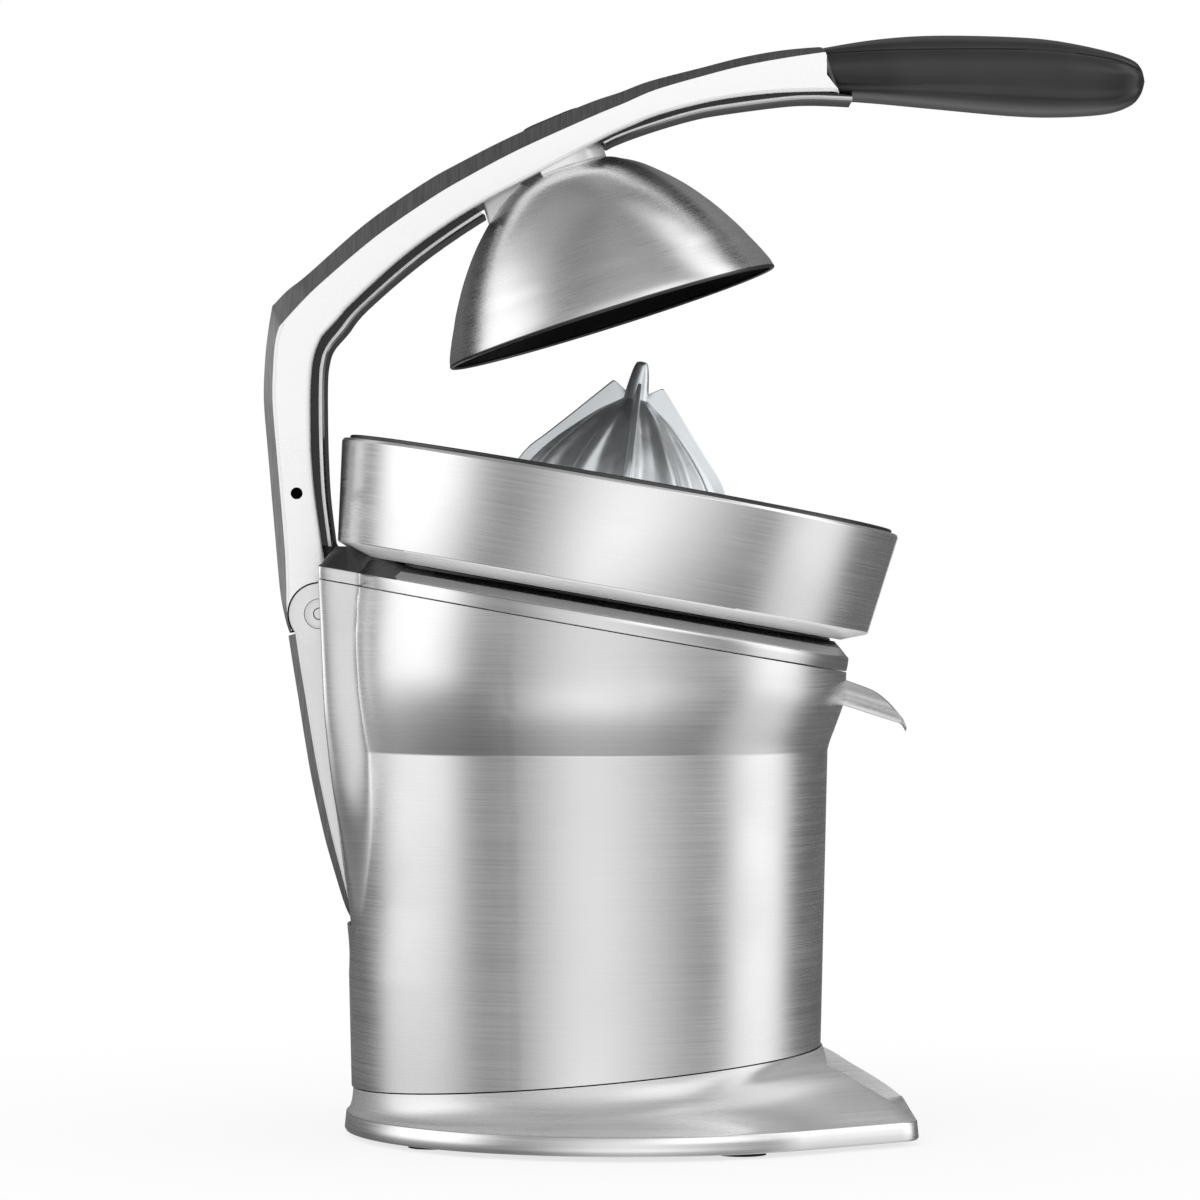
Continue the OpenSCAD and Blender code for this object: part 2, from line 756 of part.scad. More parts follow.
module rocker_outline() {
    difference() {
        polygon(arm_pts(rocker_px));
        disc_at(pivot_b, tail_r + gap);
    }
    disc_at(pivot_b, knuckle_r);
    polygon([pivot_b + on_circle(knuckle_r, web_angles[0]),
        pivot_b + on_circle(knuckle_r, web_angles[1]),
        pivot_a + on_circle(knuckle_r, web_angles[2]),
        pivot_a + on_circle(knuckle_r * web_foot_share, web_angles[3])]);
    disc_at(pivot_a, pin_a_r + rocker_cheek);
}

module rocker() {
    color("silver") difference() {
        union() {
            slab_pair(arm_half_w - rocker_cheek, arm_half_w) rocker_outline();
            slab(-arm_half_w, arm_half_w) difference() {
                polygon(arm_pts(strip_end_px));
                disc_at(pivot_b, tail_r + gap);
                disc_at(pivot_a, spring_r + gap);
            }
        }
        cross_pin(pivot_a, pin_a_r + run_fit, body_r);
        cross_pin(pivot_b, knuckle_pin_r, body_r);
        for (side = [-1, 1]) slab_side(side, arm_half_w - cap_t, arm_half_w + over)
            disc_at(pivot_b, cap_r);
    }
}
web_angles = [225, 330, 10, 190];
web_foot_share = 0.6;
cap_r = 5.7;
cap_t = 1.6;
socket_r = 2.3;
socket_depth = 1.2;

module slab_side(side, y0, y1) {
    if (side > 0) slab(y0, y1) children();
    else slab(-y1, -y0) children();
}

module rocker_pin() {
    color("gainsboro") cross_pin(pivot_a, pin_a_r, frame_gap_half_w + frame_plate);
}

spring_half_w = 8;
spring_r = 4.2;
module rocker_spring() {
    color("gainsboro") slab(-spring_half_w, spring_half_w) difference() {
        disc_at(pivot_a, spring_r);
        disc_at(pivot_a, pin_a_r);
    }
}

module knuckle_pin() {
    color("gainsboro") difference() {
        union() {
            cross_pin(pivot_b, knuckle_pin_r, arm_half_w);
            slab_pair(arm_half_w - cap_t, arm_half_w) disc_at(pivot_b, cap_r);
        }
        slab_pair(arm_half_w - socket_depth, arm_half_w + over) disc_at(pivot_b, socket_r);
    }
}

module strut() {
    color("dimgray") difference() {
        slab(-strut_half_w, strut_half_w) {
            strut_bar();
            disc_at(pivot_d, pin_d_r + strut_half_t);
            disc_at(pivot_e, pin_e_r + eye_play + eye_wall);
        }
        cross_pin(pivot_d, pin_d_r + run_fit, body_r);
        cross_pin(pivot_e, pin_e_r + eye_play, body_r);
    }
}
eye_wall = 1.2;
eye_stray = 2.5;
module strut_bar() {
    run = pivot_e - pivot_d;
    side = [-run[1], run[0]] * (strut_half_t / norm(run));
    polygon([pivot_d + side, pivot_d - side, pivot_e - side, pivot_e + side]);
}

module strut_lower_pin() {
    color("gainsboro") cross_pin(pivot_d, pin_d_r, frame_gap_half_w + frame_plate);
}

module strut_upper_pin() {
    color("black") cross_pin(pivot_e, pin_e_r, arm_half_w);
}

// Arm: a casting of channel section, open on its inner side
module arm_outline() {
    polygon(concat(arm_pts(arm_outer_px), arm_pts(arm_inner_px)));
}

module tail_outline() {
    difference() {
        disc_at(pivot_b, tail_r);
        disc_at(pivot_b, knuckle_r + gap);
        translate(pivot_b)
            polygon(concat([[0, 0]], [for (a = tail_gap_angles) on_circle(2 * tail_r, a)]));
    }
}

module lug_outline() {
    disc_at(pivot_b, knuckle_pin_r + lug_plate);
    polygon(concat([for (a = lug_angles) pivot_b + on_circle(knuckle_pin_r + lug_plate, a)],
        arm_pts(lug_top_px)));
}

module arm() {
    lug_y = arm_half_w - rocker_cheek - seat_gap;
    color("whitesmoke") difference() {
        union() {
            slab(-arm_half_w, arm_half_w) difference() {
                arm_outline();
                translate([arm_skin, -arm_skin]) arm_outline();
                disc_at(pivot_b, knuckle_r + gap);
            }
            slab(-arm_half_w, arm_half_w) tail_outline();
            slab_pair(arm_half_w - arm_cheek, arm_half_w) difference() {
                arm_outline();
                disc_at(pivot_b, knuckle_r + gap);
            }
            tang(0);
            slab_pair(lug_y - lug_plate, lug_y) lug_outline();
            slab_pair(lug_y - lug_plate, arm_half_w) intersection() {
                difference() {
                    lug_outline();
                    disc_at(pivot_b, knuckle_r + gap);
                }
                arm_outline();
            }
        }
        cross_pin(pivot_b, knuckle_pin_r + run_fit, body_r);
        cross_pin(pivot_e, pin_e_r, body_r);
        cross_pin(pivot_e, pin_e_r + eye_play + eye_wall + eye_stray + seat_gap,
            strut_half_w + gap);
        button_frame() translate([0, 0, -button_depth]) linear_extrude(2 * button_depth)
            button_2d(seat_gap);
        button_frame() translate([0, 0, -stem_l - over])
            cylinder(r = stem_r + seat_gap, h = stem_l + over);
        grip_screws();
    }
}

tang_px = [[790, 54], [822, 52], [905, 64], [905, 92], [790, 90]];
tang_half_w = 8;
grip_screw_px = [[862, 92], [890, 92]];
grip_screw_l = 8;
module tang(room) {
    slab(-tang_half_w - room, tang_half_w + room) polygon(arm_pts(tang_px));
}

module grip_screws() {
    color("gainsboro") for (p = grip_screw_px)
        translate([arm_pt(p)[0], 0, arm_pt(p)[1] - grip_screw_l / 4])
            cylinder(r = screw_r, h = grip_screw_l);
}

module arm_liner() {
    w = arm_half_w - arm_cheek;
    color("black") difference() {
        slab(-w, w) intersection() {
            difference() {
                arm_outline();
                translate([-liner_t, liner_t]) arm_outline();
                translate([arm_x(liner_to_px), 0]) square(arm_reach * 2);
            }
            translate([pivot_b[0] - arm_reach, arm_pt([0, liner_from_px])[1]])
                square([arm_reach * 3, arm_reach]);
        }
        button_frame() translate([0, 0, -2 * stem_l])
            cylinder(r = stem_r + spring_wire + 2 * seat_gap, h = 2 * stem_l);
    }
}
liner_t = 2;

grip_half_w = 19;
grip_round = 9;
module grip() {
    end_x = arm_x(grip_end_px);
    start_x = arm_x(grip_start_px);
    color("dimgray") difference() {
        intersection() {
            slab(-grip_half_w, grip_half_w) polygon(arm_pts(grip_px));
            translate([0, 0, pivot_b[1]]) linear_extrude(arm_reach) union() {
                translate([start_x, -grip_half_w])
                    square([end_x - start_x - grip_half_w, 2 * grip_half_w]);
                translate([end_x - grip_half_w, 0]) circle(grip_half_w);
            }
        }
        slab(-arm_half_w - over * 2, arm_half_w + over * 2) arm_outline();
        tang(0);
        grip_screws();
    }
}

// Pedestal between the arm's underside and the dome
pedestal_r = 16.3;
pedestal_back = 33;
pedestal_h = 12;
module dome_pedestal() {
    color("whitesmoke") difference() {
        dome_frame() translate([0, 0, dome_h]) linear_extrude(pedestal_h) union() {
            circle(pedestal_r);
            translate([-pedestal_back, -pedestal_r]) square([pedestal_back, 2 * pedestal_r]);
        }
        slab(-arm_half_w - over, arm_half_w + over) arm_outline();
        dome_frame() translate([0, 0, dome_h - over]) cylinder(r = stud_r, h = stud_h + over);
    }
}

// Dome: shares of its radius and its height, from the rim to the flat top
dome_shares = [[1, 0], [0.955, 0.115], [0.915, 0.237], [0.868, 0.345], [0.767, 0.517],
    [0.632, 0.707], [0.455, 0.887], [0.283, 0.992], [0.26, 1]];
dome_rim_roll = 0.9;
module press_dome() {
    outer = smooth(scaled(dome_shares, dome_r, dome_h), curve_steps);
    inner = shifted(reversed(smooth(scaled(dome_shares, dome_r, dome_h), curve_steps)),
        [-dome_wall, -dome_wall]);
    color("gainsboro") dome_frame() {
        rotate_extrude() intersection() {
            polygon(concat([[0, dome_h]], reversed(outer), reversed(inner),
                [[0, dome_h - dome_wall]]));
            square([dome_r + over, dome_h + over]);
        }
        rotate_extrude() translate([dome_r - dome_rim_roll, dome_rim_roll])
            circle(dome_rim_roll, $fn = 16);
    }
}

stud_r = 5;
stud_h = 2.5;
module dome_stud() {
    color("gainsboro") dome_frame() translate([0, 0, dome_h]) cylinder(r = stud_r, h = stud_h);
}

button_half_l = 11.3;
button_half_w = 9;
button_depth = 2.6;
button_rise = 0.6;
button_round_share = 0.55;
button_travel = 2;
stem_r = 2.4;
stem_l = 11;
module button_frame() {
    p = arm_pt(button_px);
    translate([p[0], 0, p[1]]) rotate([0, -button_angle, 0]) children();
}

module button_2d(room) {
    r = button_half_w * button_round_share;
    half_l = button_half_l + room;
    half_w = button_half_w + room;
    square([2 * half_l, 2 * (half_w - r)], center = true);
    square([2 * (half_l - r), 2 * half_w], center = true);
    for (sx = [-1, 1]) for (sy = [-1, 1])
        translate([sx * (half_l - r), sy * (half_w - r)]) circle(r);
}

module release_button() {
    color("black") button_frame() {
        translate([0, 0, -button_depth + button_travel + seat_gap])
            linear_extrude(button_depth - button_travel - seat_gap + button_rise) button_2d(0);
        translate([0, 0, -stem_l]) cylinder(r = stem_r, h = stem_l);
    }
}

spring_wire = 0.8;
button_spring_h = 4;
button_spring_w = 5.7;
module button_spring() {
    color("gainsboro") button_frame() translate([0, 0, -button_spring_w - button_spring_h])
        ring_solid(stem_r + seat_gap, stem_r + seat_gap + spring_wire, button_spring_h);
}

// Switch that the rocker works
switch_size = [10, 6.5, 18];
switch_at = [12, 120];
switch_x = slot_front_x - frame_plate - switch_size[0];
plunger_r = 1.2;
plunger_l = 3;
plunger_travel = 1;
module micro_switch() {
    color("dimgray") difference() {
        translate([switch_x, switch_at[0], switch_at[1]])
            cube(switch_size);
        plunger_frame() cylinder(r = plunger_r + seat_gap, h = 2 * plunger_l, center = true);
    }
}
module plunger_frame() {
    translate([switch_x, switch_at[0] + switch_size[1] / 2, switch_at[1] + switch_size[2] / 2])
        rotate([0, 90, 0]) children();
}

module switch_plunger() {
    color("firebrick") plunger_frame() translate([0, 0, -plunger_l / 2])
        cylinder(r = plunger_r, h = plunger_l);
}

board_size = [70, 40];
board_h = 14;
board_part_h = 4;
module control_board() {
    color("darkgreen") {
        translate([-board_size[0] / 2, -board_size[1] / 2, board_h])
            cube([board_size[0], board_size[1], board_t]);
        for (x = [-1, 1]) for (y = [-1, 1])
            translate([x * (board_size[0] / 2 - boss_r), y * (board_size[1] / 2 - boss_r),
                foot_clear + plate_t]) cylinder(r = screw_head_r, h = board_h - foot_clear
                    - plate_t);
        translate([-board_size[0] / 2 + boss_r * 2, -boss_r, board_h + board_t])
            cube([boss_r * 4, boss_r * 2, board_part_h]);
    }
}

module cord_grommet() {
    color("black") inlet_frame() difference() {
        union() {
            translate([0, 0, -inlet_flange * 2]) cylinder(r = inlet_r, h = inlet_r);
            translate([0, 0, shell_wall + inlet_flange])
                cylinder(r = inlet_r + inlet_lip, h = inlet_flange * 1.5);
        }
        translate([0, 0, -inlet_r]) cylinder(r = inlet_r - inlet_wall, h = 3 * inlet_r);
    }
}

// Foot
front_corner_r = 14;
foot_back = 92;
foot_x = foot_r - foot_back;
module foot_2d(inset) {
    hull() {
        translate([foot_x, 0]) circle(foot_r - inset, $fn = 96);
        for (s = [-1, 1])
            translate([foot_reach - front_corner_r, s * (foot_front_half_w - front_corner_r)])
                circle(front_corner_r - inset, $fn = 32);
    }
}

skirt_inset = 4;
valley_half_w = 44;
valley_h = foot_clear + foot_lip_h - seat_gap;
foot_wall = 3;
module skirt_solid(inset) {
    hull() {
        translate([0, 0, foot_clear + foot_lip_h]) linear_extrude(skin_eps)
            foot_2d(skirt_inset + inset);
        translate([0, 0, foot_seam_h]) rotate([0, -foot_seam_tilt, 0])
            translate([0, 0, -skin_eps - inset])
                cylinder(r = wall_r(foot_seam_h) + seam_step - inset, h = skin_eps);
    }
}
seam_step = 0.8;
module foot_hollow() {
    difference() {
        union() {
            skirt_solid(foot_wall);
            linear_extrude(foot_clear + foot_lip_h + over)
                foot_2d(skirt_inset + foot_wall + seat_lap);
        }
        for (p = base_screw_places) translate(p)
            cylinder(r = boss_r, h = foot_seam_h + p[0] * tan(foot_seam_tilt));
        translate([body_r - body_taper - foot_wall, -valley_half_w - foot_wall, 0])
            cube([foot_reach, 2 * (valley_half_w + foot_wall), foot_reach]);
    }
}

module base_foot() {
    color("gainsboro") difference() {
        union() {
            translate([0, 0, foot_clear]) linear_extrude(foot_lip_h) foot_2d(0);
            skirt_solid(0);
        }
        foot_hollow();
        translate([0, 0, -over]) linear_extrude(foot_clear + plate_t + over)
            foot_2d(plate_inset);
        base_screws();
        translate([body_r - body_taper + seam_step, -valley_half_w, valley_h])
            cube([foot_reach, 2 * valley_half_w, foot_reach]);
    }
}

module base_plate() {
    color("dimgray") translate([0, 0, foot_clear]) difference() {
        linear_extrude(plate_t) foot_2d(plate_inset);
        for (p = foot_pad_places) translate([p[0], p[1], -over])
            cylinder(r = foot_pad_r - pad_step, h = plate_t + 2 * over);
        translate([0, 0, -foot_clear]) base_screws();
    }
}

pad_ring_r = foot_r - foot_pad_r - plate_inset - pad_step;
pad_angles = [0, 62, 142, 218, 298];
foot_pad_places = concat([[0, 0]], [for (a = pad_angles)
    [foot_x, 0] + on_circle(a == 0 ? min(pad_ring_r, foot_reach - foot_x - 2 * foot_pad_r)
        : pad_ring_r, a)]);
module rubber_feet() {
    color("black") for (p = foot_pad_places) translate(p) {
        cylinder(r = foot_pad_r, h = foot_clear);
        cylinder(r = foot_pad_r - pad_step, h = foot_pad_h);
    }
}

screw_ring_r = body_r - body_taper - foot_wall - boss_r - over;
base_screw_places = [for (a = [47, 104, 180, 256, 313]) on_circle(screw_ring_r, a)];
module base_screws() {
    color("gainsboro") for (p = base_screw_places) translate([p[0], p[1], 0]) {
        translate([0, 0, foot_clear]) cylinder(r = screw_head_r, h = plate_t / 2);
        translate([0, 0, foot_clear]) cylinder(r = screw_r, h = plate_t + screw_l);
    }
}

base_foot();
base_plate();
rubber_feet();
base_screws();
body_shell();
top_ring();
top_deck();
deck_screws();
spindle_bush();
spindle_seal();
drive_spindle();
output_gear();
idler_gear();
idler_axle();
motor_pinion();
gear_housing();
gear_cover();
motor_can();
motor_end_plate();
stator_stack();
stator_windings();
rotor_core();
rotor_shaft();
motor_bearings();
juice_bowl();
strainer();
reamer();
spout();
pivot_frame();
frame_screws();
rocker();
rocker_pin();
rocker_spring();
knuckle_pin();
strut();
strut_lower_pin();
strut_upper_pin();
arm();
arm_liner();
grip();
grip_screws();
dome_pedestal();
press_dome();
dome_stud();
release_button();
button_spring();
micro_switch();
switch_plunger();
control_board();
cord_grommet();
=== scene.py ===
"""Looks of the electric citrus press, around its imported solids."""
import math

import bmesh
import bpy
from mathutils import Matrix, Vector


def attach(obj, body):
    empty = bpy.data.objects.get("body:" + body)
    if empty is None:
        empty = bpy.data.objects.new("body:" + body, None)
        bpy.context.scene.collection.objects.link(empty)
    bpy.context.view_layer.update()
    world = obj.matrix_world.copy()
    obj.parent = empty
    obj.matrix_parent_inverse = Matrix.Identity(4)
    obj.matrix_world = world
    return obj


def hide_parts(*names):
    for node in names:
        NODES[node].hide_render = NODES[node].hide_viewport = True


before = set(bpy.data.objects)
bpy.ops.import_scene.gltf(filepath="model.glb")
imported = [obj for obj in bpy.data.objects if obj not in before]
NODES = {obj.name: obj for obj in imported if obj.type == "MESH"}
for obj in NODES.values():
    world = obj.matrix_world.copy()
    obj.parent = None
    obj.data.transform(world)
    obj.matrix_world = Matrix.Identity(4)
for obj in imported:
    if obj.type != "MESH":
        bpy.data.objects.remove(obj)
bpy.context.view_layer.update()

# The camera, and the photo that it stands in for; lengths are in mm
MM = 0.001
CAM_BACK = 1910.0
CAM_AT = Vector((0.00475, -CAM_BACK * MM, 0.2016))
LENS, SENSOR = 151.0, 36.0
PHOTO_PX = 1200.0
FOCAL_PX = LENS / SENSOR * PHOTO_PX
CHEEK_DEPTH = -12.0

# Tilted frames of the head and the dome, the seam's height in the head's frame, main sizes
HEAD_TILT = math.radians(10.0)
HEAD_AT = (12.5, 0.0, 244.6)
DOME_TILT = math.radians(-17.5)
DOME_AT = (9.6, 0.0, 308.2)
SEAM_W = -54.1
RING_R = 96.6
BODY_R = 91.0
BODY_TAPER = 2.8
CREASE_H = 145.0
FOOT_SEAM_H = 25.7
FOOT_SEAM_TAN = math.tan(math.radians(5.0))
PIVOT_B = (-100.8, 196.4)
SLOT_HALF_W = 21.0
ARM_HALF_W = 18.0


# Places and outlines

def at(px, py, depth=CHEEK_DEPTH):
    """A place in the level side view, as x and z in mm, at a depth behind the middle plane."""
    k = (CAM_BACK + depth) / FOCAL_PX
    return (CAM_AT.x / MM + (px - PHOTO_PX / 2) * k, CAM_AT.z / MM - (py - PHOTO_PX / 2) * k)


def turned(p, tilt, origin):
    """A point of a tilted frame, in mm, as a place in the row frame."""
    c, s = math.cos(tilt), math.sin(tilt)
    x, y, z = p
    return (origin[0] + x * c + z * s, origin[1] + y, origin[2] - x * s + z * c)


def head(p):
    return turned(p, HEAD_TILT, HEAD_AT)


def dome_frame(p):
    return turned(p, DOME_TILT, DOME_AT)


def spline(points, steps):
    """A smooth curve through a list of points of any dimension."""
    out = []
    n = len(points)
    for i in range(n - 1):
        a, b = points[max(i - 1, 0)], points[i]
        c, d = points[i + 1], points[min(i + 2, n - 1)]
        for k in range(steps):
            t = k / steps
            out.append(tuple((2 * q + (r - p) * t + (2 * p - 5 * q + 4 * r - s) * t * t
                              + (3 * q - p - 3 * r + s) * t ** 3) / 2
                             for p, q, r, s in zip(a, b, c, d)))
    out.append(tuple(points[-1]))
    return out


def rounded(points, radius, steps=5):
    """A closed outline with its corners rounded; radius is one number or one per corner."""
    out = []
    n = len(points)
    for i, p in enumerate(points):
        r = radius[i] if isinstance(radius, list) else radius
        p = Vector(p)
        a = Vector(points[i - 1]) - p
        b = Vector(points[(i + 1) % n]) - p
        la, lb = a.length, b.length
        a.normalize()
        b.normalize()
        half = a.angle(b) / 2
        if abs(half - math.pi / 2) < 0.02:
            out.append(tuple(p))
            continue
        cut = min(r / math.tan(half), la * 0.48, lb * 0.48)
        p0, p2 = p + a * cut, p + b * cut
        for k in range(steps + 1):
            t = k / steps
            out.append(tuple(p0 * (1 - t) ** 2 + p * 2 * t * (1 - t) + p2 * t * t))
    return out


def unit(x):
    return min(max(x, 0.0), 1.0)


# Meshes

SHARP = 32.0


def new_object(name, data):
    obj = bpy.data.objects.new(name, data)
    bpy.context.scene.collection.objects.link(obj)
    return obj


def solid(name, verts, faces, materials=()):
    """An object from places in mm, with its faces turned outwards."""
    mesh = bpy.data.meshes.new(name)
    mesh.from_pydata([(x * MM, y * MM, z * MM) for x, y, z in verts], [], faces)
    mesh.validate()
    for m in materials:
        mesh.materials.append(m)
    bm = bmesh.new()
    bm.from_mesh(mesh)
    bmesh.ops.recalc_face_normals(bm, faces=bm.faces)
    bm.to_mesh(mesh)
    bm.free()
    return new_object(name, mesh)


def cut_away(obj, cutters):
    """Takes other solids out of an object for good."""
    for other in cutters:
        cut = obj.modifiers.new("cut", "BOOLEAN")
        cut.operation, cut.solver, cut.object = "DIFFERENCE", "EXACT", other
    bpy.context.view_layer.update()
    graph = bpy.context.evaluated_depsgraph_get()
    mesh = bpy.data.meshes.new_from_object(obj.evaluated_get(graph))
    obj.modifiers.clear()
    obj.data = mesh


def make(name, verts, faces, material, body, slot, replaces=(), angle=SHARP, face_slots=(),
         cuts=()):
    """A mesh piece from places in mm, with its own finish, riding on a body."""
    obj = solid(name, verts, faces, material if isinstance(material, list) else [material])
    for face, index in zip(obj.data.polygons, face_slots):
        face.material_index = index
    if cuts:
        cut_away(obj, cuts)
    obj.data.shade_smooth()
    obj.data.set_sharp_from_angle(angle=math.radians(angle))
    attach(obj, body)
    if replaces:
        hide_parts(replaces)
    return obj


def paint(obj, index, test):
    """Gives another material to the faces whose centre, in mm, and normal pass a test."""
    for face in obj.data.polygons:
        if test(face.center / MM, face.normal):
            face.material_index = index


def drop(*objects):
    """Takes the solids that were cut with out of the scene."""
    for obj in objects:
        bpy.data.objects.remove(obj)


def skin_faces(rows, cols, closed):
    """Faces between rings; the last ring meets the first, or both ends get a face."""
    faces = [(i * cols + j, i * cols + (j + 1) % cols,
              (i + 1) % rows * cols + (j + 1) % cols, (i + 1) % rows * cols + j)
             for i in range(rows if closed else rows - 1) for j in range(cols)]
    if not closed:
        faces += [tuple(range(cols - 1, -1, -1)),
                  tuple((rows - 1) * cols + j for j in range(cols))]
    return faces


def loft(name, rings, material, body, slot, replaces=(), closed=False, angle=SHARP, cuts=(),
         ring_slots=()):
    """A skin over rings of equal length; ring_slots gives a material per ring place."""
    rows, cols = len(rings), len(rings[0])
    verts = [p for ring in rings for p in ring]
    return make(name, verts, skin_faces(rows, cols, closed), material, body, slot, replaces,
                angle, list(ring_slots) * (rows - 1), cuts)


def lathe(name, profile, material, body, slot, replaces=(), n=192, place=head):
    """A turned piece; its profile of radius and height is a loop."""
    turns = [2 * math.pi * j / n for j in range(n)]
    rings = [[place((r * math.cos(a), r * math.sin(a), z)) for a in turns] for r, z in profile]
    return loft(name, rings, material, body, slot, replaces, closed=True)


def mirrored(half):
    """A ring from places (in side view, half width) down one side and back up the other."""
    return [(p[0], -w, p[1]) for p, w in half] + [(p[0], w, p[1]) for p, w in reversed(half)]


def prism(name, points, z0, z1, place):
    """A block to cut with, from an outline and two heights in a frame."""
    n = len(points)
    verts = [place((x, y, z)) for z in (z0, z1) for x, y in points]
    return solid(name, verts, skin_faces(2, n, False))


def disc(name, centre, r, half_w, n=64):
    """A disc to cut with, across the arm."""
    turns = [2 * math.pi * k / n for k in range(n)]
    pts = [(centre[0] + r * math.cos(a), centre[1] + r * math.sin(a)) for a in turns]
    return prism(name, pts, -half_w, half_w, lambda p: (p[0], p[2], p[1]))


# Materials

def nodes_of(material):
    material.use_nodes = True
    tree = material.node_tree
    tree.nodes.clear()
    shader = add(tree, "BsdfPrincipled")
    link(shader.outputs[0], add(tree, "OutputMaterial").inputs[0])
    return tree, shader


def link(source, socket):
    socket.id_data.links.new(source, socket)


def add(tree, kind, **values):
    """A shader node with its properties and its sockets' values."""
    node = tree.nodes.new("ShaderNode" + kind)
    for key, value in values.items():
        if hasattr(node, key):
            setattr(node, key, value)
        else:
            node.inputs[key].default_value = value
    return node


def grain(tree, scale, tilt=0.0, detail=3.0):
    """Streaks that are short along one axis of the scale and long along the others."""
    coords = add(tree, "TexCoord")
    turn = add(tree, "Mapping")
    turn.inputs["Rotation"].default_value = (0, -tilt, 0)
    size = add(tree, "Mapping")
    size.inputs["Scale"].default_value = scale
    noise = add(tree, "TexNoise", Scale=1.0, Detail=detail, Roughness=0.6)
    link(coords.outputs["Object"], turn.inputs["Vector"])
    link(turn.outputs[0], size.inputs["Vector"])
    link(size.outputs[0], noise.inputs["Vector"])
    return noise.outputs["Fac"]


def ramp(tree, source, low, high, lo_at=0.35, hi_at=0.65):
    node = add(tree, "MapRange")
    node.inputs["From Min"].default_value = lo_at
    node.inputs["From Max"].default_value = hi_at
    node.inputs["To Min"].default_value = low
    node.inputs["To Max"].default_value = high
    link(source, node.inputs["Value"])
    return node.outputs["Result"]


def colour_mix(tree, fac, dark, light):
    node = add(tree, "Mix", data_type="RGBA")
    link(fac, node.inputs[0])
    node.inputs[6].default_value = (*dark, 1)
    node.inputs[7].default_value = (*light, 1)
    return node.outputs[2]


def edge_wear(tree, radius):
    """A mask that is 1 on edges, from the difference between a rounded and a plain normal."""
    bev = add(tree, "Bevel", samples=4, Radius=radius)
    geo = add(tree, "NewGeometry")
    dot = add(tree, "VectorMath", operation="DOT_PRODUCT")
    link(bev.outputs[0], dot.inputs[0])
    link(geo.outputs["Normal"], dot.inputs[1])
    return ramp(tree, dot.outputs["Value"], 1.0, 0.0, 0.86, 0.99)


def finish(tree, shader, colours, patches, wear, height, bump, sizes):
    """A colour that varies with patches and is paler on edges, and a fine relief."""
    wear_radius, depth = sizes
    worn = colour_mix(tree, edge_wear(tree, wear_radius), (0, 0, 0), (wear, wear, wear))
    total = add(tree, "Mix", data_type="RGBA", blend_type="ADD")
    total.inputs[0].default_value = 1.0
    link(colour_mix(tree, ramp(tree, patches, 0.0, 1.0), *colours), total.inputs[6])
    link(worn, total.inputs[7])
    link(total.outputs[2], shader.inputs["Base Color"])
    relief = add(tree, "Bump", Strength=bump, Distance=depth)
    link(height, relief.inputs["Height"])
    link(relief.outputs[0], shader.inputs["Normal"])


# Noise scales per metre, a tint, and width of worn edges and depth of relief in metres
SCRATCHES, PATCHES, CLOUDS = (14, 14, 2600), (18, 18, 26), (30, 30, 30)
STEEL_TINT = (1.0, 1.0, 1.005)
STEEL_RELIEF, PLASTIC_RELIEF = (0.0006, 0.0001), (0.0004, 0.00015)


def steel(name, base=0.72, rough=0.24, scale=SCRATCHES, tilt=0.0, bump=0.05, vary=0.025,
          aniso=0.6, tint=STEEL_TINT, radial=True, metal=1.0, wear=0.035):
    """Brushed steel: fine scratches, patches of uneven polish and brighter edges."""
    material = bpy.data.materials.new(name)
    tree, shader = nodes_of(material)
    fine = grain(tree, scale, tilt)
    soft = grain(tree, PATCHES, tilt, 2.0)
    colours = [[min(1.0, base * k) * t for t in tint] for k in (1 - vary, 1 + vary)]
    finish(tree, shader, colours, fine, wear, fine, bump, STEEL_RELIEF)
    shader.inputs["Metallic"].default_value = metal
    both = add(tree, "Math", operation="ADD")
    link(ramp(tree, fine, rough * 0.9, rough * 1.1), both.inputs[0])
    link(ramp(tree, soft, -0.02, 0.03), both.inputs[1])
    link(both.outputs[0], shader.inputs["Roughness"])
    shader.inputs["Anisotropic"].default_value = aniso
    if radial:
        tangent = add(tree, "Tangent", direction_type="RADIAL", axis="Z")
        link(tangent.outputs[0], shader.inputs["Tangent"])
    return material


def plastic(name, colour, rough=0.35, speck=900, bump=0.08, vary=0.25, specular=0.5):
    """Moulded plastic or rubber: a fine pebble grain, uneven sheen and paler edges."""
    material = bpy.data.materials.new(name)
    tree, shader = nodes_of(material)
    fine = grain(tree, (speck, speck, speck), 0.0, 2.0)
    soft = grain(tree, CLOUDS, 0.0, 2.0)
    colours = [[min(1.0, c * k) for c in colour] for k in (1 - vary, 1 + vary)]
    finish(tree, shader, colours, soft, 0.03, fine, bump, PLASTIC_RELIEF)
    link(ramp(tree, fine, rough * 0.85, rough * 1.15), shader.inputs["Roughness"])
    shader.inputs["Specular IOR Level"].default_value = specular
    return material


